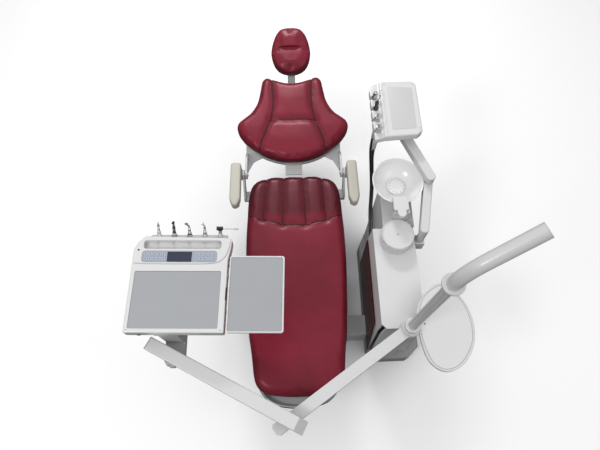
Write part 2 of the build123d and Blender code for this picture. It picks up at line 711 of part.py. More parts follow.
A1A = degrees(atan2(EY - PY, EX - PX))
u1 = (cos(radians(A1A)), sin(radians(A1A)))
A1P = Plane(origin=(PX, PY, A1_Z0), x_dir=(u1[0], u1[1], 0), z_dir=(0, 0, 1))
A1_LEN = hypot(EX - PX, EY - PY)
with BuildPart() as swing_arm:
    with BuildSketch(A1P):
        Circle(42)
        with BuildLine():
            Polyline((0, -26), (A1_LEN + 64, -26), (A1_LEN + 73, -16), (A1_LEN + 73, 14), (A1_LEN + 60, 26),
                     (0, 26), close=True)
        make_face()
        Circle(30.05, mode=Mode.SUBTRACT)
    extrude(amount=A1_Z1 - A1_Z0)
    with BuildSketch(A1P.offset(5)):
        with Locations((A1_LEN / 2 + 15, 0)):
            Rectangle(A1_LEN - 120, 42)
    extrude(amount=-10 + (A1_Z1 - A1_Z0), mode=Mode.SUBTRACT)
    with Locations((EX, EY, A1_Z1)):
        Cylinder(14, 17, align=(Align.CENTER, Align.CENTER, Align.MIN))
swing_arm.part.label = "swing_arm"

# elbow block: turns on the swing arm, its neck carries the two pantograph pins
u2 = (cos(radians(ARM2_A)), sin(radians(ARM2_A)))
UP_Z, LO_Z = 848, 822           # pantograph pins: arm cover, levelling link


def arm2_plane(t, z=0.0):
    """Plan plane at distance t along the upper arm, sketch x along the arm."""
    return Plane(origin=(EX + t * u2[0], EY + t * u2[1], z), x_dir=(u2[0], u2[1], 0), z_dir=(0, 0, 1))


def arm2_side(t, off):
    """Vertical plane along the upper arm, off to its side, sketch y up."""
    return Plane(origin=(EX + t * u2[0] + off * u2[1], EY + t * u2[1] - off * u2[0], 0),
                 x_dir=(u2[0], u2[1], 0), z_dir=(u2[1], -u2[0], 0))


with BuildPart() as elbow_block:
    with Locations((EX, EY, 787)):
        Cylinder(25, 20, align=(Align.CENTER, Align.CENTER, Align.MIN))
    with Locations((EX, EY, 787)):
        Cylinder(14.05, 18, align=(Align.CENTER, Align.CENTER, Align.MIN), mode=Mode.SUBTRACT)
    with BuildSketch(arm2_side(0, 0)):
        with BuildLine():
            Polyline((-14, 804), (14, 804), (9, UP_Z), (-9, UP_Z), close=True)
        make_face()
        with Locations((0, UP_Z)):
            Circle(9)
    extrude(amount=11, both=True)
    with BuildSketch(arm2_side(0, 0)):
        with Locations((0, UP_Z)):
            Circle(5)
    extrude(amount=26, both=True)
    with BuildSketch(arm2_side(0, 0)):
        with Locations((0, LO_Z)):
            Circle(4)
    extrude(amount=19, both=True)
elbow_block.part.label = "elbow_block"

with BuildPart() as pantograph_arm:
    with BuildSketch(arm2_side(0, 0)):
        with BuildLine():
            Polyline((-72, A2_Z0 + 4), (-72, A2_Z0 + 22), (-34, A2_Z1), (ARM2_END - 10, A2_Z1), (ARM2_END, A2_Z1 - 16),
                     (ARM2_END, A2_Z0 + 4), close=True)
        make_face()
    extrude(amount=28, both=True)
    fillet(pantograph_arm.edges().filter_by(lambda e: abs(e.tangent_at(0.5).dot(Vector(u2[0], u2[1], 0))) > 0.999)
           .group_by(Axis.Z)[-1], 5)
    with BuildSketch(arm2_side(0, 0)):
        with BuildLine():
            Polyline((-66, A2_Z0), (-66, A2_Z0 + 20), (-31, A2_Z1 - 5), (ARM2_END - 14, A2_Z1 - 5),
                     (ARM2_END - 6, A2_Z1 - 20), (ARM2_END - 6, A2_Z0), close=True)
        make_face()
    extrude(amount=23, both=True, mode=Mode.SUBTRACT)
    for t in (0, ARM2_T):
        with BuildSketch(arm2_side(t, 0)):
            with Locations((0, UP_Z)):
                Circle(5.05)
        extrude(amount=30, both=True, mode=Mode.SUBTRACT)
pantograph_arm.part.label = "pantograph_arm"

with BuildPart() as pantograph_link:
    for s in (-1, 1):
        with BuildSketch(arm2_side(ARM2_T / 2, s * 15.5)):
            with Locations((0, LO_Z)):
                SlotCenterToCenter(ARM2_T, 14)
            with Locations((-ARM2_T / 2, LO_Z)):
                Circle(4.05, mode=Mode.SUBTRACT)
            with Locations((ARM2_T / 2, LO_Z)):
                Circle(4.6, mode=Mode.SUBTRACT)
        extrude(amount=2.5, both=True)
    for dt in (-150, 150):
        with BuildSketch(arm2_side(ARM2_T / 2 + dt, 0)):
            with Locations((0, LO_Z)):
                Rectangle(16, 10)
        extrude(amount=14, both=True)
pantograph_link.part.label = "pantograph_link"

with BuildPart() as arm_head:
    with Locations((TX, TY, 782)):
        Cylinder(24, 23, align=(Align.CENTER, Align.CENTER, Align.MIN))
    with Locations((TX, TY, 742)):
        Cylinder(14, 42, align=(Align.CENTER, Align.CENTER, Align.MIN))
    with Locations((TX, TY, 737)):
        Cylinder(20, 8, align=(Align.CENTER, Align.CENTER, Align.MIN))
    with BuildSketch(arm2_side(ARM2_T, 0)):
        with BuildLine():
            Polyline((-14, 804), (14, 804), (9, UP_Z), (-9, UP_Z), close=True)
        make_face()
        with Locations((0, UP_Z)):
            Circle(9)
    extrude(amount=11, both=True)
    with BuildSketch(arm2_side(ARM2_T, 0)):
        with Locations((0, UP_Z)):
            Circle(5)
    extrude(amount=26, both=True)
    with BuildSketch(arm2_side(ARM2_T, 0)):
        with Locations((0, LO_Z)):
            Circle(4)
    extrude(amount=19, both=True)
arm_head.part.label = "arm_head"

# ================================================================ dentist's tray
with BuildPart() as tray_bracket:
    with BuildSketch(Plane.XY.offset(745)):
        with BuildLine():
            Polyline((-563, -445), (-488, -445), (-488, -300), (-573, -300), (-573, -428), close=True)
        make_face()
        with Locations((TX, TY)):
            Circle(14.05, mode=Mode.SUBTRACT)
    extrude(amount=34)
    with Locations((-525.5, -326, 779)):
        Box(75, 52, TRAY_Z0 - 779 - 8, align=(Align.CENTER, Align.CENTER, Align.MIN))
    with Locations((-512, -230, TRAY_Z0 - 8)):
        Box(130, 244, 8, align=(Align.CENTER, Align.CENTER, Align.MIN))
    with Locations((TX - 40 + 12, -445, 762)):
        Cylinder(13, 8, rotation=(90, 0, 0), align=(Align.CENTER, Align.CENTER, Align.MIN))
tray_bracket.part.label = "tray_bracket"

tc, ts = cos(radians(TRAY_ROT)), sin(radians(TRAY_ROT))


def tray_plane(z):
    return Plane(origin=(TRAY_X, TRAY_Y, z), x_dir=(tc, ts, 0), z_dir=(0, 0, 1))


def tray_side(x):
    """Vertical plane across the tray at local x: sketch x along the tray, sketch y up."""
    return Plane(origin=(TRAY_X + x * tc, TRAY_Y + x * ts, 0), x_dir=(-ts, tc, 0), z_dir=(tc, ts, 0))


def tp(x, y, z=0.0):
    """Tray point to world."""
    return (TRAY_X + x * tc - y * ts, TRAY_Y + x * ts + y * tc, z)


INSTR_X = (-115, -49, 17, 83, 149)
RACK_Y, RACK_Z = 220, 962       # where each instrument's axis crosses the sloped face of the rack
SLOPE = 0.5 ** 0.5
IX = (tc, ts, 0)                            # along the rack
IA = (-ts * SLOPE, tc * SLOPE, SLOPE)       # up along an instrument
IN = (ts * SLOPE, -tc * SLOPE, SLOPE)       # square to both


def ins(x, t=0.0, dx=0.0):
    """World point on an instrument: t along its axis from the rack, dx beside it."""
    o = tp(x, RACK_Y, RACK_Z)
    return tuple(o[i] + IA[i] * t + IX[i] * dx for i in range(3))


with BuildPart() as tray_body:
    with BuildSketch(tray_plane(TRAY_Z0)):
        with BuildLine():
            Polyline((-202, -203), (194, -203), (193, 100), (203, 150), (206, 186), (200, 197), (-160, 206),
                     (-190, 178), (-204, 145), close=True)
        make_face()
    extrude(amount=TRAY_Z1 - TRAY_Z0)
    fillet(tray_body.edges().filter_by(Axis.Z), 5)
    fillet(tray_body.edges().group_by(Axis.Z)[-1], 4)
    with BuildSketch(tray_plane(TRAY_Z1 - 6)):
        with Locations((-8.5, -68)):
            RectangleRounded(355, 236, 6)
    extrude(amount=6, mode=Mode.SUBTRACT)
    with BuildSketch(tray_plane(TRAY_Z1 - 28)):
        with Locations((-1, 167)):
            RectangleRounded(326, 38, 12)
    extrude(amount=28, mode=Mode.SUBTRACT)
    with BuildSketch(tray_plane(TRAY_Z1 - 2)):
        with Locations((-10, 114)):
            RectangleRounded(314, 50, 13)
    extrude(amount=2, mode=Mode.SUBTRACT)
    with BuildSketch(tray_plane(TRAY_Z0)):
        with Locations((-146, -68)):
            Rectangle(84, 250)
        with Locations((113, -68)):
            Rectangle(140, 250)
    extrude(amount=36, mode=Mode.SUBTRACT)
    # rack with five holes along the head-side edge
    with BuildSketch(tray_side(-149)):
        with BuildLine():
            Polyline((190, TRAY_Z0), (230, TRAY_Z0), (206, 976), (190, 976), close=True)
        make_face()
    extrude(amount=330)
    for x in INSTR_X:
        with BuildSketch(Plane(origin=ins(x), x_dir=IX, z_dir=IA)):
            Circle(9.5)
        extrude(amount=70, both=True, mode=Mode.SUBTRACT)
    # ears of the side-tray hinge
    for y in (-150, -100, 50, 100):
        with BuildSketch(tray_plane(TRAY_Z0)):
            with Locations((197, y - 10)):
                Rectangle(16, 14)
        extrude(amount=14)
        with BuildSketch(Plane(origin=tp(205, y - 10, TRAY_Z0 + 7), x_dir=(tc, ts, 0), z_dir=(-ts, tc, 0))):
            Circle(7)
        extrude(amount=7, both=True)
    with BuildSketch(Plane(origin=tp(205, -40, TRAY_Z0 + 7), x_dir=(tc, ts, 0), z_dir=(-ts, tc, 0))):
        Circle(3.05)
    extrude(amount=150, both=True, mode=Mode.SUBTRACT)
tray_body.part.label = "tray_body"

with BuildPart() as tray_mat:
    with BuildSketch(tray_plane(TRAY_Z1 - 6)):
        with Locations((-8.5, -68)):
            RectangleRounded(353.6, 234.6, 6)
    extrude(amount=4)
tray_mat.part.label = "tray_mat"

with BuildPart() as keypad:
    with BuildSketch(tray_plane(TRAY_Z1 - 2)):
        with Locations((-10, 114)):
            RectangleRounded(313.4, 49.4, 12.7)
    extrude(amount=2.2)
keypad.part.label = "keypad"

with BuildPart() as side_tray:
    with BuildSketch(tray_plane(978)):
        with Locations((315, -40)):
            RectangleRounded(228, 320, 10)
    extrude(amount=14)
    with BuildSketch(tray_plane(987)):
        with Locations((314, -40)):
            RectangleRounded(214, 306, 6)
    extrude(amount=5, mode=Mode.SUBTRACT)
    # knuckles between the ears of the tray, with the hinge pin
    for y in (-135, 65):
        with BuildSketch(Plane(origin=tp(205, y, TRAY_Z0 + 7), x_dir=(tc, ts, 0), z_dir=(ts, -tc, 0))):
            Circle(7)
            with Locations((3, 11)):
                Rectangle(8, 22)
        extrude(amount=14.5, both=True)
        with BuildSketch(Plane(origin=tp(205, y, TRAY_Z0 + 7), x_dir=(tc, ts, 0), z_dir=(-ts, tc, 0))):
            Circle(3)
        extrude(amount=32, both=True)
side_tray.part.label = "side_tray"

with BuildPart() as side_mat:
    with BuildSketch(tray_plane(987)):
        with Locations((314, -40)):
            RectangleRounded(212.6, 304.6, 6)
    extrude(amount=4)
side_mat.part.label = "side_mat"


# handle below the rack, and the collar that rests on it: (radius, height along the instrument)
BODY = [(0, -104), (6, -104), (8, -98), (8.2, 0)]
RIM = [(11.5, 0.5), (11.5, 6), (8, 10)]
with BuildPart() as air_syringe:
    with BuildSketch(Plane(origin=ins(INSTR_X[0]), x_dir=IX, z_dir=IN)):
        with BuildLine():
            Polyline(*BODY, *RIM, (7.5, 22), (5.2, 28), (4.2, 44), (5.0, 47), (5.0, 53), (3.0, 57), (3.6, 60), (3.0, 64),
                     (0, 65), close=True)
        make_face()
    revolve(axis=Axis(ins(INSTR_X[0]), IA))
air_syringe.part.label = "air_syringe"

with BuildPart() as turbine:
    with BuildSketch(Plane(origin=ins(INSTR_X[1]), x_dir=IX, z_dir=IN)):
        with BuildLine():
            Polyline(*BODY, *RIM, (8, 20), (6.2, 24), (6.8, 34), (6.0, 44), (4.2, 52), (4.0, 60), (0, 60), close=True)
        make_face()
    revolve(axis=Axis(ins(INSTR_X[1]), IA))
    with BuildSketch(Plane(origin=ins(INSTR_X[1], 62, -1), z_dir=IN)):
        Circle(5.4)
    extrude(amount=6.5, both=True)
turbine.part.label = "turbine"

with BuildPart() as contra_angle:
    with BuildSketch(Plane(origin=ins(INSTR_X[2]), x_dir=IX, z_dir=IN)):
        with BuildLine():
            Polyline(*BODY, *RIM, (7.5, 18), (5.6, 22), (5.6, 34), (4.4, 38), (4.0, 47), (0, 47), close=True)
        make_face()
    revolve(axis=Axis(ins(INSTR_X[2]), IA))
    bend = Vector(*IA) * cos(radians(42)) - Vector(*IX) * sin(radians(42))
    with BuildSketch(Plane(origin=ins(INSTR_X[2], 50, -4), z_dir=bend)):
        Circle(3.8)
    extrude(amount=8, both=True)
    with BuildSketch(Plane(origin=ins(INSTR_X[2], 57, -11), z_dir=IX)):
        Circle(4.6)
    extrude(amount=6.5, both=True)
contra_angle.part.label = "contra_angle"

with BuildPart() as scaler:
    with BuildSketch(Plane(origin=ins(INSTR_X[3]), x_dir=IX, z_dir=IN)):
        with BuildLine():
            Polyline(*BODY, *RIM, (7.2, 20), (5.2, 25), (5.0, 40), (3.4, 46), (3.0, 50), (0, 50), close=True)
        make_face()
    revolve(axis=Axis(ins(INSTR_X[3]), IA))
    for lean, dx in ((58, -6), (14, -2)):
        prong = Vector(*IA) * cos(radians(lean)) - Vector(*IX) * sin(radians(lean))
        with BuildSketch(Plane(origin=ins(INSTR_X[3], 52, dx), z_dir=prong)):
            Circle(1.8)
        extrude(amount=8 if lean > 40 else 12, both=True)
scaler.part.label = "scaler"

with BuildPart() as camera_probe:
    with BuildSketch(Plane(origin=ins(INSTR_X[4]), x_dir=IX, z_dir=IN)):
        with BuildLine():
            Polyline(*BODY, *RIM, (7.5, 16), (7.0, 30), (0, 30), close=True)
        make_face()
    revolve(axis=Axis(ins(INSTR_X[4]), IA))
    with BuildSketch(Plane(origin=ins(INSTR_X[4], 37, -1), z_dir=IX)):
        Circle(8.5)
    extrude(amount=13, both=True)
    with BuildSketch(Plane(origin=ins(INSTR_X[4], 35, 45), z_dir=IX)):
        Circle(1.6)
    extrude(amount=36, both=True)
    with BuildSketch(Plane(origin=ins(INSTR_X[4], 35, 70), z_dir=IX)):
        Circle(2.6)
    extrude(amount=9, both=True)
camera_probe.part.label = "camera_probe"

# ================================================================ oval tray and light post
EGG = [(517, -300), (531, -219), (570, -161), (651, -124), (722, -188), (752, -252), (761, -323),
       (747, -399), (688, -481), (617, -507), (560, -478), (528, -400)]
with BuildPart() as oval_tray:
    with BuildSketch(Plane.XY.offset(792)):
        with BuildLine():
            Spline(*EGG, periodic=True)
        make_face()
    extrude(amount=14)
    with BuildSketch(Plane.XY.offset(A1_Z1)):
        with Locations((PX, PY)):
            Circle(40)
        with Locations((PX + 35, PY)):
            Rectangle(50, 34)
        with Locations((PX, PY)):
            Circle(30.05, mode=Mode.SUBTRACT)
    extrude(amount=20)
    with Locations((PX, PY, 780)):
        Cylinder(30.05, 40, align=(Align.CENTER, Align.CENTER, Align.MIN), mode=Mode.SUBTRACT)
oval_tray.part.label = "oval_tray"

with BuildPart() as light_post:
    with Locations((PX, PY, 810)):
        Cylinder(34, 26, align=(Align.CENTER, Align.CENTER, Align.MIN))
    fillet(light_post.edges().group_by(Axis.Z)[-1], 6)
    with BuildSketch(Plane.XY.offset(790)):
        with Locations((PX, PY)):
            Circle(23.9)
    extrude(amount=20)
    with BuildSketch(Plane.XY.offset(836)):
        with Locations((PX, PY)):
            Circle(21)
            with PolarLocations(20.5, 8):
                Rectangle(4, 5, mode=Mode.SUBTRACT)
    extrude(amount=556)
    with BuildSketch(Plane(origin=(PX, PY, 0), x_dir=(1, 0, 0), z_dir=(0, -1, 0))):
        with BuildLine():
            Polyline((0, 1390), (22, 1390), (35, 1432), (38, 1434), (38, 1442), (0, 1442), close=True)
        make_face()
    revolve(axis=Axis((PX, PY, 0), (0, 0, 1)))
    with Locations((PX, PY, 1400)):
        Cylinder(18.05, 50, align=(Align.CENTER, Align.CENTER, Align.MIN), mode=Mode.SUBTRACT)
light_post.part.label = "light_post"

# bent tube of the light arm, with the socket for the lamp at its free end
LA = radians(20)
LU = (cos(LA), sin(LA))


def lp(d, z):
    return (PX + d * LU[0], PY + d * LU[1], z)


with BuildPart() as light_arm:
    with BuildLine() as lpath:
        FilletPolyline(lp(0, 1442), lp(0, 1538.3), lp(215.7, 1689.3), radius=160)
    with BuildSketch(Plane.XY.offset(1442)):
        with Locations((PX, PY)):
            Circle(25)
    sweep(path=lpath.line)
    with Locations((PX, PY, 1403)):
        Cylinder(18, 42, align=(Align.CENTER, Align.CENTER, Align.MIN))
    le = Vector(*lp(215.7, 1689.3))
    ld = (le - Vector(*lp(0, 1538.3))).normalized()
    with BuildSketch(Plane(origin=le, z_dir=ld)):
        Circle(13)
    extrude(amount=-70, mode=Mode.SUBTRACT)
light_arm.part.label = "light_arm"
print("lamp socket", [round(v, 3) for v in (le.X, le.Y, le.Z)], [round(v, 5) for v in (ld.X, ld.Y, ld.Z)])

# ---------------------------------------------------------------- write the pieces
pieces = [base_plate, base_bracket, base_pins, base_cover, pump_unit, link_duct, lift_arm, tie_links,
          seat_frame, carrier_pins, seat_cushion, seat_shell, hinge_plates, recline_pins, back_cushion,
          back_shell, back_frame, headrest_stem, headrest_bracket, headrest_cushion, armrest_left,
          armrest_right, armrest_pad_left, armrest_pad_right, tower_plinth, tower_body, side_panel,
          service_box, spittoon_bowl, bowl_strainer, spout_block, cup_platform, assistant_bracket,
          assistant_lower_arm, assistant_upper_arm, assistant_holder, suction_handpiece,
          saliva_handpiece, suction_hose, saliva_hose, arm_post, swing_arm,
          elbow_block, pantograph_arm, pantograph_link, arm_head, tray_bracket, tray_body, tray_mat,
          keypad, side_tray, side_mat, air_syringe, turbine, contra_angle, scaler, camera_probe,
          oval_tray, light_post, light_arm]
for piece in pieces:
    part = piece.part if hasattr(piece, "part") else piece
    export_step(part, "parts/" + part.label + ".step")
print(len(pieces), "pieces")
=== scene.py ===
import bpy
import bmesh
import math
import numpy as np
from mathutils import Vector, Matrix
from mathutils.bvhtree import BVHTree


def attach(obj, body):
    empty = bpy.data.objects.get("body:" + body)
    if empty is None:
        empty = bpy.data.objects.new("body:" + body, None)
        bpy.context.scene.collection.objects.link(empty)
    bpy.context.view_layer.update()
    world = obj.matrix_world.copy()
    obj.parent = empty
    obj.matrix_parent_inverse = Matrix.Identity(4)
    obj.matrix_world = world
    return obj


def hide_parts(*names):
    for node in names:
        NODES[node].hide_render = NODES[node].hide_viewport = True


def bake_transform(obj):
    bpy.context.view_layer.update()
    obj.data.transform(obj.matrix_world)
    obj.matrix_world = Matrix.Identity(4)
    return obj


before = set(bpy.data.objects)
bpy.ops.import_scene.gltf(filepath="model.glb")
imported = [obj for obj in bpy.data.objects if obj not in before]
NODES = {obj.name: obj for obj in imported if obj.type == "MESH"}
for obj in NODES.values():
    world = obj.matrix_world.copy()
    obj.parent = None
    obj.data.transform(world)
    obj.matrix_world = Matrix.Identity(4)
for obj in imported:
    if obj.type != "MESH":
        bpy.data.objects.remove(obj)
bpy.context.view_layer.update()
scene = bpy.context.scene
rng = np.random.default_rng(7)


# ------------------------------------------------------------------ materials
def new_mat(name):
    m = bpy.data.materials.new(name)
    m.use_nodes = True
    nt = m.node_tree
    for n in list(nt.nodes):
        nt.nodes.remove(n)
    out = nt.nodes.new("ShaderNodeOutputMaterial")
    return m, nt, out


def node(nt, kind, **props):
    n = nt.nodes.new(kind)
    for k, v in props.items():
        setattr(n, k, v)
    return n


def coords(nt, scale=1.0):
    tc = node(nt, "ShaderNodeTexCoord")
    mp = node(nt, "ShaderNodeMapping")
    nt.links.new(tc.outputs["Object"], mp.inputs["Vector"])
    mp.inputs["Scale"].default_value = (scale, scale, scale)
    return mp.outputs["Vector"]


def noise_tex(nt, vec, scale, detail=4.0, rough=0.55):
    n = node(nt, "ShaderNodeTexNoise")
    n.inputs["Scale"].default_value = scale
    n.inputs["Detail"].default_value = detail
    n.inputs["Roughness"].default_value = rough
    nt.links.new(vec, n.inputs["Vector"])
    return n


def ramp(nt, fac, a, b, lo=0.3, hi=0.7):
    r = node(nt, "ShaderNodeMapRange")
    r.inputs["From Min"].default_value = lo
    r.inputs["From Max"].default_value = hi
    r.inputs["To Min"].default_value = a
    r.inputs["To Max"].default_value = b
    nt.links.new(fac, r.inputs["Value"])
    return r.outputs["Result"]


def mixcol(nt, fac, c1, c2):
    m = node(nt, "ShaderNodeMix", data_type="RGBA")
    nt.links.new(fac, m.inputs["Factor"])
    m.inputs["A"].default_value = (*c1, 1)
    m.inputs["B"].default_value = (*c2, 1)
    return m.outputs["Result"]


def edge_normal(nt, radius):
    b = node(nt, "ShaderNodeBevel", samples=4)
    b.inputs["Radius"].default_value = radius
    return b.outputs["Normal"]


def solid(name, color, rough=0.35, metal=0.0, coat=0.0, spec=0.5, var=0.05, grain=250.0, bump=0.04,
          bumpscale=900.0, edge=0.0, coat_rough=0.15):
    """Painted, moulded or machined surface with faint unevenness of colour, gloss and height."""
    m, nt, out = new_mat(name)
    p = node(nt, "ShaderNodeBsdfPrincipled")
    vec = coords(nt)
    n1 = noise_tex(nt, vec, grain * 0.04, 3)
    n2 = noise_tex(nt, vec, grain, 5)
    n3 = noise_tex(nt, vec, bumpscale, 2)
    dark = tuple(c * (1 - var) for c in color)
    nt.links.new(mixcol(nt, n1.outputs["Fac"], dark, color), p.inputs["Base Color"])
    nt.links.new(ramp(nt, n2.outputs["Fac"], rough * 0.88, min(1, rough * 1.14)), p.inputs["Roughness"])
    p.inputs["Metallic"].default_value = metal
    p.inputs["Specular IOR Level"].default_value = spec
    p.inputs["Coat Weight"].default_value = coat
    p.inputs["Coat Roughness"].default_value = coat_rough
    bp = node(nt, "ShaderNodeBump")
    bp.inputs["Strength"].default_value = bump
    bp.inputs["Distance"].default_value = 0.0006
    nt.links.new(n3.outputs["Fac"], bp.inputs["Height"])
    if edge > 0:
        nt.links.new(edge_normal(nt, edge), bp.inputs["Normal"])
    nt.links.new(bp.outputs["Normal"], p.inputs["Normal"])
    nt.links.new(p.outputs["BSDF"], out.inputs["Surface"])
    return m


def leather(name, base, deep):
    m, nt, out = new_mat(name)
    p = node(nt, "ShaderNodeBsdfPrincipled")
    vec = coords(nt)
    v = node(nt, "ShaderNodeTexVoronoi", feature="SMOOTH_F1")
    v.inputs["Scale"].default_value = 620.0
    v.inputs["Smoothness"].default_value = 0.5
    nt.links.new(vec, v.inputs["Vector"])
    big = noise_tex(nt, vec, 7.0, 4)
    mid = noise_tex(nt, vec, 60.0, 5)
    fine = noise_tex(nt, vec, 1400.0, 3)
    # painted shade: a per-point attribute darkens seam grooves, channel valleys, steep side faces and the seat's
    # quilted head end towards near-black red
    shade_attr = node(nt, "ShaderNodeAttribute")
    shade_attr.attribute_name = "painted_shade"
    hue = mixcol(nt, ramp(nt, big.outputs["Fac"], 0, 1), deep, base)
    dark = node(nt, "ShaderNodeMix", data_type="RGBA")
    nt.links.new(shade_attr.outputs["Fac"], dark.inputs[0])
    nt.links.new(hue, dark.inputs[6])
    # near-black red colour of the painted shade
    dark.inputs[7].default_value = (0.022, 0.0016, 0.0035, 1)
    nt.links.new(dark.outputs[2], p.inputs["Base Color"])
    nt.links.new(ramp(nt, mid.outputs["Fac"], 0.36, 0.44), p.inputs["Roughness"])
    p.inputs["Specular IOR Level"].default_value = 0.42
    p.inputs["Specular Tint"].default_value = (1.0, 0.50, 0.56, 1)
    p.inputs["Coat Weight"].default_value = 0.12
    p.inputs["Coat Roughness"].default_value = 0.24
    b1 = node(nt, "ShaderNodeBump")
    b1.inputs["Strength"].default_value = 0.10
    b1.inputs["Distance"].default_value = 0.0005
    nt.links.new(v.outputs["Distance"], b1.inputs["Height"])
    b2 = node(nt, "ShaderNodeBump")
    b2.inputs["Strength"].default_value = 0.06
    b2.inputs["Distance"].default_value = 0.0004
    nt.links.new(fine.outputs["Fac"], b2.inputs["Height"])
    nt.links.new(b1.outputs["Normal"], b2.inputs["Normal"])
    nt.links.new(b2.outputs["Normal"], p.inputs["Normal"])
    nt.links.new(p.outputs["BSDF"], out.inputs["Surface"])
    return m


def tinted(name, color):
    m, nt, out = new_mat(name)
    p = node(nt, "ShaderNodeBsdfPrincipled")
    vec = coords(nt)
    n = noise_tex(nt, vec, 12.0, 3)
    nt.links.new(ramp(nt, n.outputs["Fac"], 0.34, 0.42), p.inputs["Roughness"])
    p.inputs["Base Color"].default_value = (*[c * 0.14 for c in color], 1)
    p.inputs["Coat Weight"].default_value = 0.0
    p.inputs["Specular IOR Level"].default_value = 0.15
    p.inputs["Specular Tint"].default_value = (1.0, 0.35, 0.30, 1)
    t = node(nt, "ShaderNodeBsdfTransparent")
    t.inputs["Color"].default_value = (*color, 1)
    mx = node(nt, "ShaderNodeMixShader")
    mx.inputs["Fac"].default_value = 0.90
    nt.links.new(t.outputs["BSDF"], mx.inputs[1])
    nt.links.new(p.outputs["BSDF"], mx.inputs[2])
    nt.links.new(mx.outputs["Shader"], out.inputs["Surface"])
    return m


def banded(name, origin, axis, stops, rough=0.25, metal=0.8, side=None, spec=0.5):
    """Turned piece whose finish changes along its axis; stops are (distance, colour), side = (axis, from, colour)."""
    m, nt, out = new_mat(name)
    p = node(nt, "ShaderNodeBsdfPrincipled")
    vec = coords(nt)
    sub = node(nt, "ShaderNodeVectorMath", operation="SUBTRACT")
    nt.links.new(vec, sub.inputs[0])
    sub.inputs[1].default_value = origin
    dot = node(nt, "ShaderNodeVectorMath", operation="DOT_PRODUCT")
    nt.links.new(sub.outputs["Vector"], dot.inputs[0])
    dot.inputs[1].default_value = axis
    lo, hi = stops[0][0], stops[-1][0] + 0.02
    rmp = node(nt, "ShaderNodeValToRGB")
    cr = rmp.color_ramp
    cr.interpolation = "CONSTANT"
    nt.links.new(ramp(nt, dot.outputs["Value"], 0, 1, lo, hi), rmp.inputs["Fac"])
    for i, (d, c) in enumerate(stops):
        q = (d - lo) / (hi - lo)
        e = cr.elements[i] if i < 2 else cr.elements.new(q)
        e.position = q
        e.color = (*c, 1)
    col = rmp.outputs["Color"]
    if side:
        d2 = node(nt, "ShaderNodeVectorMath", operation="DOT_PRODUCT")
        nt.links.new(sub.outputs["Vector"], d2.inputs[0])
        d2.inputs[1].default_value = side[0]
        gt = node(nt, "ShaderNodeMath", operation="GREATER_THAN")
        nt.links.new(d2.outputs["Value"], gt.inputs[0])
        gt.inputs[1].default_value = side[1]
        mixn = node(nt, "ShaderNodeMix", data_type="RGBA")
        nt.links.new(gt.outputs["Value"], mixn.inputs["Factor"])
        nt.links.new(col, mixn.inputs["A"])
        mixn.inputs["B"].default_value = (*side[2], 1)
        col = mixn.outputs["Result"]
    n2 = noise_tex(nt, vec, 400, 4)
    nt.links.new(col, p.inputs["Base Color"])
    nt.links.new(ramp(nt, n2.outputs["Fac"], rough * 0.8, rough * 1.2), p.inputs["Roughness"])
    p.inputs["Metallic"].default_value = metal
    p.inputs["Specular IOR Level"].default_value = spec
    nt.links.new(edge_normal(nt, 0.0008), p.inputs["Normal"])
    nt.links.new(p.outputs["BSDF"], out.inputs["Surface"])
    return m


TR = math.radians(-1.8)
TC, TS = math.cos(TR), math.sin(TR)
TRAY_W = Matrix.Translation((-0.481, -0.150, 0)) @ Matrix.Rotation(TR, 4, "Z")
SL = 0.5 ** 0.5
IX, IA = (TC, TS, 0.0), (-TS * SL, TC * SL, SL)


def ins(x, t=0.0, dx=0.0):
    """World point on an instrument: t along its axis from the rack, dx beside it (metres)."""
    o = TRAY_W @ Vector((x, 0.220, 0.962))
    return tuple(o[i] + IA[i] * t + IX[i] * dx for i in range(3))


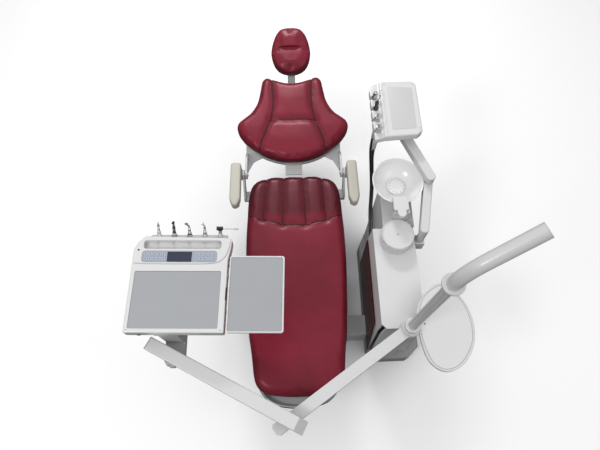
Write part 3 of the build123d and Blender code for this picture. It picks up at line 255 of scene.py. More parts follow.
WHITE = (0.64, 0.64, 0.645)
M = {
    "leather": leather("leather", (0.195, 0.0105, 0.026), (0.145, 0.0072, 0.018)),
    "thread": solid("thread", (0.24, 0.03, 0.05), 0.6, bump=0.2),
    "white": solid("white_plastic", WHITE, 0.30, coat=0.25, edge=0.0025),
    "paint": solid("white_paint", (0.60, 0.60, 0.605), 0.33, coat=0.2, edge=0.003),
    "pale": solid("pale_grey", (0.50, 0.505, 0.51), 0.34, coat=0.15, edge=0.003),
    "shell": solid("shell_grey", (0.36, 0.365, 0.37), 0.38, coat=0.1, edge=0.004),
    "plinth": solid("plinth_grey", (0.30, 0.30, 0.305), 0.42, edge=0.004),
    "dark": solid("dark_steel", (0.10, 0.10, 0.105), 0.42, metal=0.6, edge=0.001),
    "frame": solid("frame_grey", (0.16, 0.165, 0.17), 0.45, metal=0.3, edge=0.002),
    "steel": solid("turned_steel", (0.62, 0.62, 0.63), 0.25, metal=1.0, grain=500, edge=0.0008),
    "chrome": solid("chrome", (0.78, 0.78, 0.79), 0.10, metal=1.0, bump=0.01),
    "cast": solid("cast_alloy", (0.36, 0.37, 0.38), 0.5, metal=0.7, bump=0.25, bumpscale=400),
    "pad": solid("soft_pad", (0.50, 0.485, 0.42), 0.55, spec=0.35, bump=0.16, bumpscale=1500),
    "mat": solid("silicone_mat", (0.335, 0.345, 0.36), 0.62, spec=0.3, bump=0.18, bumpscale=1800, edge=0.0015),
    "glaze": solid("glaze", (0.82, 0.82, 0.825), 0.22, coat=0.3, coat_rough=0.10, bump=0.01),
    "key": solid("key_film", (0.30, 0.335, 0.40), 0.40, spec=0.4, bump=0.05),
    "keymark": solid("key_mark", (0.40, 0.435, 0.50), 0.45, bump=0.02),
    "display": solid("display", (0.012, 0.018, 0.045), 0.10, coat=0.4, bump=0.0),
    "digit": solid("digit", (0.16, 0.26, 0.45), 0.3, bump=0.0),
    "black": solid("black_rubber", (0.012, 0.012, 0.013), 0.48, spec=0.4, bump=0.1),
    "hose": solid("hose_black", (0.016, 0.016, 0.018), 0.36, spec=0.5, bump=0.08),
    "clear": solid("clear_tip", (0.62, 0.63, 0.64), 0.15, coat=0.4, bump=0.0),
    "tint": tinted("tinted_panel", (0.42, 0.035, 0.025)),
    "black_gloss": solid("black_gloss", (0.008, 0.008, 0.009), 0.16, coat=0.5, bump=0.0),
    "seam": solid("seam_shadow", (0.11, 0.11, 0.115), 0.7, bump=0.0),
    "panel": solid("inset_panel", (0.55, 0.54, 0.545), 0.42, coat=0.1, edge=0.001),
    "syringe_m": banded("syringe_finish", ins(-0.115), IA, [(-0.12, (0.6, 0.6, 0.6)), (0.0, (0.72, 0.72, 0.73)),
                        (0.010, (0.55, 0.56, 0.57)), (0.028, (0.30, 0.30, 0.31)), (0.034, (0.70, 0.71, 0.72)),
                        (0.047, (0.22, 0.22, 0.23)), (0.055, (0.75, 0.75, 0.76))], 0.2, 0.35),
    "turbine_m": banded("turbine_finish", ins(-0.049), IA, [(-0.12, (0.5, 0.5, 0.5)), (0.0, (0.30, 0.30, 0.31)),
                        (0.008, (0.62, 0.62, 0.62)), (0.016, (0.07, 0.07, 0.075)), (0.030, (0.35, 0.35, 0.36)),
                        (0.036, (0.05, 0.05, 0.055)), (0.052, (0.30, 0.30, 0.31)), (0.057, (0.06, 0.06, 0.065))], 0.28, 0.7),
    "contra_m": banded("contra_finish", ins(0.017), IA, [(-0.12, (0.5, 0.5, 0.5)), (0.0, (0.5, 0.5, 0.51)),
                       (0.008, (0.08, 0.08, 0.085)), (0.014, (0.60, 0.60, 0.61)), (0.026, (0.12, 0.12, 0.125)),
                       (0.032, (0.62, 0.62, 0.63)), (0.046, (0.20, 0.20, 0.21))], 0.22, 0.85),
    "scaler_m": banded("scaler_finish", ins(0.083), IA, [(-0.12, (0.55, 0.55, 0.55)), (0.0, (0.6, 0.6, 0.61)),
                       (0.012, (0.33, 0.33, 0.34)), (0.022, (0.66, 0.66, 0.67)), (0.038, (0.15, 0.15, 0.16)),
                       (0.045, (0.5, 0.5, 0.51))], 0.22, 0.75),
    "camera_m": banded("camera_finish", ins(0.149), IA, [(-0.12, (0.5, 0.5, 0.5)), (0.0, (0.6, 0.6, 0.6)),
                       (0.016, (0.30, 0.30, 0.31)), (0.027, (0.010, 0.010, 0.011))], 0.25, 0.3,
                       side=(IX, 0.0125, (0.34, 0.34, 0.35))),
    "inner": solid("inner_white", (0.55, 0.55, 0.55), 0.5, edge=0.002),
}

MAT_OF = {
    "base_plate": "frame", "base_bracket": "paint", "base_pins": "steel", "base_cover": "pale",
    "pump_unit": "cast", "link_duct": "pale", "lift_arm": "paint", "tie_links": "paint",
    "seat_frame": "frame", "carrier_pins": "steel", "seat_shell": "shell", "hinge_plates": "paint",
    "recline_pins": "steel", "back_shell": "pale", "back_frame": "paint", "headrest_stem": "paint",
    "headrest_bracket": "steel", "armrest_left": "paint", "armrest_right": "paint",
    "armrest_pad_left": "pad", "armrest_pad_right": "pad", "tower_plinth": "plinth",
    "tower_body": "white", "side_panel": "tint", "service_box": "inner", "spittoon_bowl": "glaze",
    "bowl_strainer": "glaze", "spout_block": "white", "cup_platform": "white",
    "assistant_bracket": "paint", "assistant_lower_arm": "paint", "assistant_upper_arm": "paint",
    "assistant_holder": "white", "suction_handpiece": "pale", "saliva_handpiece": "pale",
    "arm_post": "paint", "swing_arm": "paint", "elbow_block": "steel", "pantograph_arm": "paint",
    "pantograph_link": "dark", "arm_head": "steel", "tray_bracket": "pale", "tray_body": "white",
    "tray_mat": "mat", "keypad": "key", "side_tray": "white", "side_mat": "mat",
    "air_syringe": "syringe_m", "turbine": "turbine_m", "contra_angle": "contra_m", "scaler": "scaler_m",
    "camera_probe": "camera_m", "oval_tray": "white", "light_post": "paint", "light_arm": "paint",
    "suction_hose": "hose", "saliva_hose": "hose",
    "seat_cushion": "leather", "back_cushion": "leather", "headrest_cushion": "leather",
}
for name, key in MAT_OF.items():
    me = NODES[name].data
    me.materials.clear()
    me.materials.append(M[key])


# ------------------------------------------------------------------ mesh tools
def add(name, verts, faces, mat, smooth=True):
    me = bpy.data.meshes.new(name)
    me.from_pydata([tuple(v) for v in verts], [], faces)
    me.validate()
    me.update()
    if smooth:
        me.polygons.foreach_set("use_smooth", [True] * len(me.polygons))
    ob = bpy.data.objects.new(name, me)
    me.materials.append(M[mat])
    scene.collection.objects.link(ob)
    return ob


def join(name, parts, mat, smooth=True):
    """One object from several (verts, faces) pairs."""
    verts, faces = [], []
    for v, f in parts:
        k = len(verts)
        verts += [tuple(p) for p in v]
        faces += [tuple(i + k for i in q) for q in f]
    return add(name, verts, faces, mat, smooth)


def lathe(profile, centre, axis=(0, 0, 1), seg=64, closed=True):
    """Turned solid: profile is (radius, height) points from bottom to top."""
    q = Vector((0, 0, 1)).rotation_difference(Vector(axis).normalized())
    c = Vector(centre)
    verts, faces = [], []
    n = len(profile)
    for i in range(seg):
        a = 2 * math.pi * i / seg
        for r, h in profile:
            verts.append(tuple(c + q @ Vector((r * math.cos(a), r * math.sin(a), h))))
    for i in range(seg):
        j = (i + 1) % seg
        for k in range(n - 1):
            faces.append((i * n + k, j * n + k, j * n + k + 1, i * n + k + 1))
    if closed:
        faces.append(tuple(i * n for i in range(seg))[::-1])
        faces.append(tuple(i * n + n - 1 for i in range(seg)))
    return verts, faces


def rounded_disc(r, h, e, steps=4):
    """Profile of a disc of radius r, height h, with its upper edge rounded by e."""
    pts = [(0.0002, 0), (r, 0), (r, h - e)]
    for i in range(1, steps + 1):
        a = math.pi / 2 * i / steps
        pts.append((r - e + e * math.cos(a), h - e + e * math.sin(a)))
    pts.append((0.0002, h))
    return pts


def tube(points, radius, seg=20, cap=True, radii=None):
    """Round tube along dense points by parallel transport."""
    P = [Vector(p) for p in points]
    n = len(P)
    T = [(P[min(i + 1, n - 1)] - P[max(i - 1, 0)]).normalized() for i in range(n)]
    u = T[0].orthogonal().normalized()
    verts, faces = [], []
    for i in range(n):
        if i:
            q = T[i - 1].rotation_difference(T[i])
            u = (q @ u).normalized()
        w = T[i].cross(u).normalized()
        r = radii[i] if radii is not None else radius
        for k in range(seg):
            a = 2 * math.pi * k / seg
            verts.append(tuple(P[i] + (u * math.cos(a) + w * math.sin(a)) * r))
    for i in range(n - 1):
        for k in range(seg):
            m = (k + 1) % seg
            faces.append((i * seg + k, i * seg + m, (i + 1) * seg + m, (i + 1) * seg + k))
    if cap:
        faces.append(tuple(range(seg))[::-1])
        faces.append(tuple((n - 1) * seg + k for k in range(seg)))
    return verts, faces


def catmull(points, per=12, closed=False):
    P = np.array(points, float)
    n = len(P)
    out = []
    rngs = range(n) if closed else range(n - 1)
    for i in rngs:
        if closed:
            a, b, c, d = P[(i - 1) % n], P[i], P[(i + 1) % n], P[(i + 2) % n]
        else:
            b, c = P[i], P[i + 1]
            a = P[i - 1] if i else 2 * b - c
            d = P[i + 2] if i + 2 < n else 2 * c - b
        for k in range(per):
            t = k / per
            out.append(0.5 * (2 * b + (c - a) * t + (2 * a - 5 * b + 4 * c - d) * t * t
                              + (3 * b - a - 3 * c + d) * t ** 3))
    if not closed:
        out.append(P[-1])
    return np.array(out)


def box_part(x0, x1, y0, y1, z0, z1, e=0.001):
    """Box with chamfered edges, in any axis-aligned place."""
    bm = bmesh.new()
    bmesh.ops.create_cube(bm, size=1.0)
    for v in bm.verts:
        v.co = Vector(((x0 + x1) / 2 + v.co.x * (x1 - x0), (y0 + y1) / 2 + v.co.y * (y1 - y0),
                       (z0 + z1) / 2 + v.co.z * (z1 - z0)))
    if e > 0:
        bmesh.ops.bevel(bm, geom=list(bm.edges), offset=e, segments=3, profile=0.5, affect="EDGES")
    bm.verts.ensure_lookup_table()
    verts = [tuple(v.co) for v in bm.verts]
    faces = [tuple(v.index for v in f.verts) for f in bm.faces]
    bm.free()
    return verts, faces


# ------------------------------------------------------------------ cushions
def seg_dist(P, L):
    """Distance of each 2-D point to a polyline, and the length along it at the nearest point."""
    best = np.full(len(P), 1e9)
    along = np.zeros(len(P))
    s0 = 0.0
    for a, b in zip(L[:-1], L[1:]):
        d = b - a
        ln = float(np.hypot(*d))
        if ln < 1e-9:
            continue
        t = np.clip(((P - a) @ d) / (ln * ln), 0, 1)
        q = np.hypot(*(P - (a + t[:, None] * d)).T)
        m = q < best
        best[m] = q[m]
        along[m] = s0 + t[m] * ln
        s0 += ln
    return best, along


def prism(outline, z0, z1):
    n = len(outline)
    verts = [(x, y, z0) for x, y in outline] + [(x, y, z1) for x, y in outline]
    faces = [tuple(range(n))[::-1], tuple(range(n, 2 * n))]
    faces += [(i, (i + 1) % n, n + (i + 1) % n, n + i) for i in range(n)]
    return verts, faces


def remesh(ob, voxel):
    md = ob.modifiers.new("voxels", "REMESH")
    md.mode = "VOXEL"
    md.voxel_size = voxel
    dg = bpy.context.evaluated_depsgraph_get()
    me = bpy.data.meshes.new_from_object(ob.evaluated_get(dg))
    ob.modifiers.clear()
    ob.data = me


def get_co(me):
    a = np.empty(len(me.vertices) * 3)
    me.vertices.foreach_get("co", a)
    return a.reshape(-1, 3)


def set_co(me, a):
    me.vertices.foreach_set("co", np.ascontiguousarray(a).ravel())
    me.update()


def normals(me):
    a = np.empty(len(me.vertices) * 3)
    me.vertices.foreach_get("normal", a)
    return a.reshape(-1, 3)


def inflate(ob, pressure, cap, frames=18):
    """Let the skin swell like stretched upholstery, and keep each point within cap of its start."""
    start = get_co(ob.data)
    c = ob.modifiers.new("skin", "CLOTH")
    s = c.settings
    s.quality = 4
    s.mass = 0.35
    s.tension_stiffness = 12
    s.compression_stiffness = 12
    s.shear_stiffness = 6
    s.bending_stiffness = 1.5
    s.use_pressure = True
    s.uniform_pressure_force = pressure
    s.effector_weights.gravity = 0
    c.collision_settings.use_collision = False
    c.point_cache.frame_start = 1
    c.point_cache.frame_end = frames
    for f in range(1, frames + 1):
        scene.frame_set(f)
    dg = bpy.context.evaluated_depsgraph_get()
    me = bpy.data.meshes.new_from_object(ob.evaluated_get(dg))
    end = get_co(me)
    ob.modifiers.clear()
    scene.frame_set(1)
    if len(end) == len(start) and np.isfinite(end).all():
        d = end - start
        ln = np.linalg.norm(d, axis=1, keepdims=True)
        set_co(ob.data, start + d * np.minimum(1, cap / np.maximum(ln, 1e-9)))
    bpy.data.meshes.remove(me)


def relax(ob, steps, amount=0.5):
    me = ob.data
    e = np.empty(len(me.edges) * 2, int)
    me.edges.foreach_get("vertices", e)
    e = e.reshape(-1, 2)
    co = get_co(me)
    cnt = np.bincount(e.ravel(), minlength=len(co)).astype(float)[:, None]
    for _ in range(steps):
        acc = np.zeros_like(co)
        for ax in range(3):
            acc[:, ax] = np.bincount(e[:, 0], co[e[:, 1], ax], len(co)) + np.bincount(e[:, 1], co[e[:, 0], ax], len(co))
        co = co + amount * (acc / np.maximum(cnt, 1) - co)
    set_co(me, co)


def subdivide(ob, levels=1):
    md = ob.modifiers.new("fine", "SUBSURF")
    md.levels = levels
    md.render_levels = levels
    dg = bpy.context.evaluated_depsgraph_get()
    me = bpy.data.meshes.new_from_object(ob.evaluated_get(dg))
    ob.modifiers.clear()
    ob.data = me


def cushion(name, node_name, outline, z0, z1, rt, rb, voxel, seams, cap, pressure, sculpt=None, crown=0.004,
            to_world=None, rim_seam=None):
    """Upholstered pad from its plan outline in its own plane (metres)."""
    half = [(x / 1000, y / 1000) for x, y in outline]
    ring = half + [(-x, y) for x, y in reversed(half) if abs(x) > 1e-6]
    loop = catmull(ring, 10, closed=True)
    area = 0.5 * np.sum(loop[:, 0] * np.roll(loop[:, 1], -1) - np.roll(loop[:, 0], -1) * loop[:, 1])
    if area < 0:
        loop = loop[::-1]
    t = np.roll(loop, -1, 0) - np.roll(loop, 1, 0)
    t /= np.linalg.norm(t, axis=1, keepdims=True)
    inward = np.stack([-t[:, 1], t[:, 0]], 1)
    v, f = prism(loop + inward * 0.0015, z0 + 0.001, z1 - 0.004)
    ob = add(name, v, f, "leather")
    remesh(ob, voxel)
    co = get_co(ob.data)
    closed_loop = np.vstack([loop, loop[:1]])
    d, s = seg_dist(co[:, :2], closed_loop)
    # nearest outline sample gives the inward direction
    cum = np.concatenate([[0], np.cumsum(np.linalg.norm(np.diff(closed_loop, axis=0), axis=1))])
    idx = np.clip(np.searchsorted(cum, s) - 1, 0, len(loop) - 1)
    nin = inward[idx]
    d = np.maximum(d - 0.0015, 0)
    for R, sign, zf in ((rt, 1, z1 - 0.004), (rb, -1, z0 + 0.001)):
        u = R - d
        w = (co[:, 2] - (zf - sign * R)) * sign
        m = (u > 0) & (w > 0)
        k = np.maximum(u[m], w[m]) / np.hypot(u[m], w[m])
        du = u[m] - u[m] * k
        dw = w[m] - w[m] * k
        co[m, 0] += nin[m, 0] * du
        co[m, 1] += nin[m, 1] * du
        co[m, 2] -= sign * dw
    set_co(ob.data, co)
    relax(ob, 3)
    inflate(ob, pressure, cap)
    relax(ob, 2)
    subdivide(ob, 1)
    relax(ob, 2)
    co = get_co(ob.data)
    nrm = normals(ob.data)
    xy = co[:, :2]
    up = np.clip((co[:, 2] - (z0 + 0.25 * (z1 - z0))) / (0.25 * (z1 - z0)), 0, 1)
    dist, _ = seg_dist(xy, closed_loop)
    # crown of the front face
    co[:, 2] += crown * np.clip(nrm[:, 2], 0, 1) * np.clip(dist / 0.12, 0, 1) ** 0.7
    if sculpt:
        co = sculpt(co, nrm, dist)
    # sewn channels: a wide soft valley, a tight groove and little puckers
    # painted shade: darker leather gathered along the seam grooves and their soft valleys
    painted_shade = np.zeros(len(co))
    for i, line in enumerate(seams):
        L = catmull(line, 10)
        ds, al = seg_dist(co[:, :2], L)
        total = np.sum(np.linalg.norm(np.diff(L, axis=0), axis=1))
        rim = 0.3 + 0.7 * np.clip(dist / 0.035, 0, 1)
        depth = 0.0024 if name == "seat_upholstery" and i == 4 else 0.0075
        wide = depth * rim * np.exp(-(ds / 0.022) ** 2)
        painted_shade = np.maximum(painted_shade, (0.88 * np.exp(-(ds / 0.0042) ** 2) + 0.22 * np.exp(-(ds / 0.022) ** 2)) * up)
        tight = 0.0042 * np.exp(-(ds / 0.0028) ** 2)
        puck = 0.0006 * np.sin(al * 2 * math.pi / 0.021 + 1.7 * i) * np.sin(al * 2 * math.pi / 0.034) * np.exp(-((ds - 0.008) / 0.008) ** 2)
        co -= nrm * ((wide + tight + puck) * up)[:, None]
    # gentle unevenness of the stuffing
    w = (np.sin(co[:, 0] * 23 + 1.3) * np.sin(co[:, 1] * 17 + 0.4) + 0.6 * np.sin(co[:, 0] * 51 + co[:, 1] * 37)) * 0.00045
    co += nrm * (w * up)[:, None]
    # welt seam round the side
    zs = z1 - rt * 1.05
    side = np.clip(1 - np.abs(nrm[:, 2]) * 1.4, 0, 1)
    co -= nrm * (0.0018 * np.exp(-((co[:, 2] - zs) / 0.0022) ** 2) * side)[:, None]
    co[:, 2] = np.maximum(co[:, 2], z0)
    set_co(ob.data, co)
    # painted shade: the quilted head end of the seat is darkened
    if name == "seat_upholstery":
        painted_shade = np.maximum(painted_shade, 0.62 * np.clip((co[:, 1] - 0.315) / 0.05, 0, 1) * up)
    # painted shade: faces turning away from straight up are darkened
    painted_shade = np.maximum(painted_shade, 0.72 * np.clip((0.62 - nrm[:, 2]) / 0.5, 0, 1))
    layer = ob.data.attributes.new("painted_shade", "FLOAT", "POINT")
    layer.data.foreach_set("value", np.clip(painted_shade, 0, 0.95).astype(np.float32))
    # stitches beside the seams
    bvh = BVHTree.FromPolygons([tuple(c) for c in co], [tuple(p.vertices) for p in ob.data.polygons])
    parts = []
    for line in seams:
        L = catmull(line, 30)
        cl = np.concatenate([[0], np.cumsum(np.linalg.norm(np.diff(L, axis=0), axis=1))])
        for off in (-0.0052, 0.0052):
            for sv in np.arange(0.006, cl[-1] - 0.004, 0.0068):
                k = min(np.searchsorted(cl, sv), len(L) - 1)
                tdir = L[k] - L[k - 1]
                tdir = tdir / max(np.linalg.norm(tdir), 1e-9)
                p = L[k] + np.array([-tdir[1], tdir[0]]) * off
                hit, hn, _, _ = bvh.ray_cast(Vector((p[0], p[1], z1 + 0.1)), Vector((0, 0, -1)))
                if hit is None or hn.z < 0.3:
                    continue
                a = Vector((tdir[0], tdir[1], 0))
                a = (a - hn * a.dot(hn)).normalized()
                b = hn.cross(a)
                base = len(parts)
                verts = []
                for sx, rr in ((-0.0023, 0.0), (-0.0015, 0.00045), (0.0015, 0.00045), (0.0023, 0.0)):
                    for q in range(5):
                        ang = 2 * math.pi * q / 5
                        verts.append(tuple(hit + hn * 0.0001 + a * sx + (b * math.cos(ang) + hn * math.sin(ang)) * max(rr, 0.00008)))
                fs = []
                for r in range(3):
                    for q in range(5):
                        fs.append((r * 5 + q, r * 5 + (q + 1) % 5, (r + 1) * 5 + (q + 1) % 5, (r + 1) * 5 + q))
                fs.append((4, 3, 2, 1, 0))
                fs.append((15, 16, 17, 18, 19))
                parts.append((verts, fs))
    if rim_seam is not None:
        L = catmull(rim_seam["line"], 30)
        cl = np.concatenate([[0], np.cumsum(np.linalg.norm(np.diff(L, axis=0), axis=1))])
        for sv in np.arange(0.004, cl[-1], 0.0075):
            k = min(np.searchsorted(cl, sv), len(L) - 1)
            tdir = L[k] - L[k - 1]
            tdir = tdir / max(np.linalg.norm(tdir), 1e-9)
            nv = np.array([tdir[1], -tdir[0]])
            start = Vector((L[k][0] + nv[0] * 0.15, L[k][1] + nv[1] * 0.15, rim_seam["z"]))
            hit, hn, _, _ = bvh.ray_cast(start, Vector((-nv[0], -nv[1], 0)))
            if hit is None:
                continue
            a = Vector((tdir[0], tdir[1], 0))
            a = (a - hn * a.dot(hn)).normalized()
            b = hn.cross(a)
            verts = []
            for sx, rr in ((-0.003, 0.00008), (-0.002, 0.0006), (0.002, 0.0006), (0.003, 0.00008)):
                for q in range(5):
                    ang = 2 * math.pi * q / 5
                    verts.append(tuple(hit + hn * 0.0001 + a * sx + (b * math.cos(ang) + hn * math.sin(ang)) * rr))
            fs = []
            for r in range(3):
                for q in range(5):
                    fs.append((r * 5 + q, r * 5 + (q + 1) % 5, (r + 1) * 5 + (q + 1) % 5, (r + 1) * 5 + q))
            fs.append((4, 3, 2, 1, 0))
            fs.append((15, 16, 17, 18, 19))
            parts.append((verts, fs))
    st = join(name + "_stitches", parts, "thread") if parts else None
    for o in (ob, st):
        if o is None:
            continue
        if to_world is not None:
            o.data.transform(to_world)
        o.data.polygons.foreach_set("use_smooth", [True] * len(o.data.polygons))
        o.data.materials.clear()
        o.data.materials.append(M["leather"] if o is ob else M["thread"])
        o.data.update()
    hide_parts(node_name)
    return ob, st


SEAT_HALF = [(0, -579), (95, -573), (168, -556), (208, -522), (224, -470), (236, -380),
             (252, -250), (264, -60), (270, 120), (269, 280), (264, 400), (253, 500),
             (225, 557), (169, 588), (90, 598), (0, 600)]
seat_seams = [
    [(-.153, .602), (-.157, .52), (-.166, .42), (-.173, .322)],
    [(-.056, .604), (-.058, .50), (-.062, .38), (-.066, .291)],
    [(.053, .604), (.053, .50), (.054, .38), (.055, .287)],
    [(.154, .602), (.157, .50), (.160, .40), (.163, .312)],
    [(-.272, .357), (-.22, .333), (-.173, .318), (-.12, .302), (-.066, .289), (0, .283), (.055, .285),
     (.11, .296), (.163, .310), (.21, .326), (.272, .352)],
]


def sculpt_seat(co, nrm, dist):
    # padded channels stand a little proud at the head end, the leg rest is slightly dished
    up = np.clip(nrm[:, 2], 0, 1)
    head = 1 / (1 + np.exp(-(co[:, 1] - 0.30) / 0.012))
    co[:, 2] += 0.0035 * head * up * np.clip(dist / 0.04, 0, 1)
    leg = np.clip((0.25 - co[:, 1]) / 0.8, 0, 1) * np.clip(dist / 0.15, 0, 1)
    co[:, 2] -= 0.002 * leg * up
    return co


seat_ob, seat_st = cushion("seat_upholstery", "seat_cushion", SEAT_HALF, .490, .560, .030, .012, .0075, seat_seams,
                           .010, 3.0, sculpt_seat, crown=0.005)
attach(seat_ob, "seat")
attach(seat_st, "seat")

RC = math.radians(8)
BACK_W = Matrix.Translation((0, .600, .550)) @ Matrix.Rotation(RC, 4, "X")
BACK_HALF = [(0, 56), (90, 68), (182, 106), (250, 158), (300, 215), (319, 262), (310, 298),
             (280, 330), (238, 370), (205, 432), (190, 500), (178, 556), (160, 580),
             (138, 587), (106, 580), (56, 562), (0, 553)]
back_seams = [
    [(-.114, .590), (-.110, .50), (-.106, .408), (-.113, .35), (-.124, .300), (-.150, .235), (-.176, .170), (-.190, .125)],
    [(.111, .590), (.110, .50), (.109, .403), (.115, .35), (.125, .298), (.148, .235), (.171, .165), (.184, .118)],
    [(-.124, .302), (-.08, .3035), (-.02, .301), (.05, .302), (.125, .298)],
]


def sculpt_back(co, nrm, dist):
    up = np.clip(nrm[:, 2], 0, 1)
    x, y = co[:, 0], co[:, 1]
    # wings curl forward a little towards their tips, the small of the back is fuller
    wing = np.clip((np.abs(x) - 0.16) / 0.14, 0, 1) * np.exp(-((y - 0.26) / 0.11) ** 2)
    co[:, 2] += 0.006 * wing * up * np.clip(dist / 0.05, 0, 1)
    lumbar = np.exp(-(x / 0.15) ** 2 - ((y - 0.19) / 0.07) ** 2)
    co[:, 2] += 0.004 * lumbar * up
    upper = np.exp(-(x / 0.09) ** 2 - ((y - 0.44) / 0.09) ** 2)
    co[:, 2] += 0.003 * upper * up
    return co


back_ob, back_st = cushion("back_upholstery", "back_cushion", BACK_HALF, -.025, .055, .024, .012, .0065, back_seams,
                           .009, 3.0, sculpt_back, crown=0.004, to_world=BACK_W,
                           rim_seam={"line": [(-.24, .150), (-.17, .100), (-.09, .068), (0, .056), (.09, .068), (.17, .100), (.24, .150)],
                                     "z": .028})
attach(back_ob, "backrest")
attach(back_st, "backrest")

HT = math.radians(22)
HEAD_W = Matrix.Translation((0, 1.330, .700)) @ Matrix.Rotation(HT, 4, "X")
HEAD_HALF = [(0, -133), (38, -130), (74, -112), (100, -78), (113, -32), (112, 4), (104, 48),
             (88, 92), (62, 124), (34, 134), (0, 136)]


def sculpt_head(co, nrm, dist):
    up = np.clip(nrm[:, 2] * 1.5, 0, 1)
    x, y = co[:, 0] + 0.006, co[:, 1]
    # raised pillow with a crisp lower edge, hollow for the head below it
    bx = 1 / (1 + np.exp((np.abs(x) - 0.043) / 0.0045))
    by = 1 / (1 + np.exp(-(y - 0.016) / 0.0022))
    tail = np.clip(1 - (y - 0.016) / 0.085, 0, 1)
    co[:, 2] += 0.004 * bx * by * up * tail
    drop = np.clip((0.016 - y) / 0.085, 0, 1)
    bowl = np.where(y < 0.016, np.maximum(0, 1 - drop) ** 1.4, 0) * np.exp(-(x / 0.066) ** 4)
    co[:, 2] -= 0.016 * bowl * up * (1 - by)
    sidehollow = np.exp(-((np.abs(x) - 0.06) / 0.02) ** 2) * np.exp(-((y - 0.03) / 0.04) ** 2)
    co[:, 2] -= 0.004 * sidehollow * up
    rim = np.exp(-((y + 0.078) / 0.022) ** 2) * np.exp(-(x / 0.07) ** 4)
    co[:, 2] += 0.003 * rim * up
    return co


head_ob, head_st = cushion("head_upholstery", "headrest_cushion", HEAD_HALF, -.045, .040, .030, .016, .0045, [],
                           .007, 3.0, sculpt_head, crown=0.006, to_world=HEAD_W)
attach(head_ob, "headrest")


# ------------------------------------------------------------------ hoses
HOSE_A = [(404, 583, 814), (405, 582, 770), (409, 578, 722), (415, 569, 674), (420, 553, 630),
          (424, 529, 590), (425, 496, 556), (422, 456, 532), (416, 412, 519), (412, 366, 515),
          (408, 320, 519), (405, 274, 529), (401, 230, 541), (398, 187, 549)]
HOSE_B = [(404, 647, 814), (404, 646, 768), (406, 642, 718), (411, 634, 668), (417, 619, 620),
          (422, 597, 575), (426, 566, 535), (427, 528, 503), (424, 484, 480), (418, 438, 466),
          (413, 391, 461), (409, 344, 464), (406, 297, 473), (401, 250, 485), (398, 218, 490), (397, 187, 493)]


def centreline(name, pts):
    cu = bpy.data.curves.new(name, "CURVE")
    cu.dimensions = "3D"
    cu.resolution_u = 10
    sp = cu.splines.new("NURBS")
    sp.points.add(len(pts) - 1)
    for p, q in zip(sp.points, pts):
        p.co = (q[0] / 1000, q[1] / 1000, q[2] / 1000, 1)
    sp.order_u = 3
    sp.use_endpoint_u = True
    ob = bpy.data.objects.new(name, cu)
    scene.collection.objects.link(ob)
    me = bpy.data.meshes.new_from_object(ob)
    out = [tuple(v.co) for v in me.vertices]
    bpy.data.meshes.remove(me)
    bpy.data.objects.remove(ob)
    bpy.data.curves.remove(cu)
    if (Vector(out[0]) - Vector([c / 1000 for c in pts[0]])).length > 0.01:
        out.reverse()
    return out


for cname, cnode, route in (("suction_hose_skin", "suction_hose", HOSE_A), ("saliva_hose_skin", "saliva_hose", HOSE_B)):
    line = centreline(cname + "_line", route)
    v, f = tube(line, 0.007, 20)
    h = add(cname, v, f, "hose")
    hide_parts(cnode)
    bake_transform(h)

# ------------------------------------------------------------------ moulded and turned details
def moved(part, mat):
    v, f = part
    return [tuple(mat @ Vector(p)) for p in v], f


def rounded_poly(pts, r, n=6):
    """Closed 2-D outline with its corners rounded; r may be one radius or one for each corner."""
    out = []
    k = len(pts)
    for i in range(k):
        a, b, c = (Vector(pts[(i - 1) % k]), Vector(pts[i]), Vector(pts[(i + 1) % k]))
        u, w = (a - b).normalized(), (c - b).normalized()
        ang = u.angle(w)
        rr = r[i] if isinstance(r, (list, tuple)) else r
        d = min(rr / math.tan(ang / 2), 0.48 * (a - b).length, 0.48 * (c - b).length)
        rr = d * math.tan(ang / 2)
        centre = b + (u + w).normalized() * (rr / math.sin(ang / 2))
        p, q = b + u * d, b + w * d
        a0 = math.atan2(p.y - centre.y, p.x - centre.x)
        a1 = math.atan2(q.y - centre.y, q.x - centre.x)
        da = (a1 - a0 + math.pi) % (2 * math.pi) - math.pi
        for j in range(n + 1):
            t = a0 + da * j / n
            out.append((centre.x + rr * math.cos(t), centre.y + rr * math.sin(t)))
    return out


def shrink(loop, d):
    P = np.array(loop)
    t = np.roll(P, -1, 0) - np.roll(P, 1, 0)
    t /= np.maximum(np.linalg.norm(t, axis=1, keepdims=True), 1e-9)
    area = 0.5 * np.sum(P[:, 0] * np.roll(P[:, 1], -1) - np.roll(P[:, 0], -1) * P[:, 1])
    nrm = np.stack([-t[:, 1], t[:, 0]], 1) * (1 if area > 0 else -1)
    return [tuple(q) for q in P + nrm * d]


def plate(loop, z0, z1, e, steps=4, dome=0.0):
    """Solid plate from a 2-D loop, upper edge rounded by e."""
    rings = [(loop, z0)]
    for i in range(steps + 1):
        a = math.pi / 2 * i / steps
        rings.append((shrink(loop, e * (1 - math.cos(a))), z1 - e + e * math.sin(a)))
    n = len(loop)
    verts = [(x, y, z) for lp, z in rings for x, y in lp]
    faces = [tuple(range(n))[::-1]]
    for r in range(len(rings) - 1):
        for i in range(n):
            j = (i + 1) % n
            faces.append((r * n + i, r * n + j, (r + 1) * n + j, (r + 1) * n + i))
    top = (len(rings) - 1) * n
    faces.append(tuple(top + i for i in range(n)))
    P = np.array(loop)
    if 0.5 * np.sum(P[:, 0] * np.roll(P[:, 1], -1) - np.roll(P[:, 0], -1) * P[:, 1]) < 0:
        faces = [f[::-1] for f in faces]
    return verts, faces


def rect(cx, cy, w, h, r, n=5):
    return rounded_poly([(cx - w / 2, cy - h / 2), (cx + w / 2, cy - h / 2), (cx + w / 2, cy + h / 2), (cx - w / 2, cy + h / 2)], r, n)


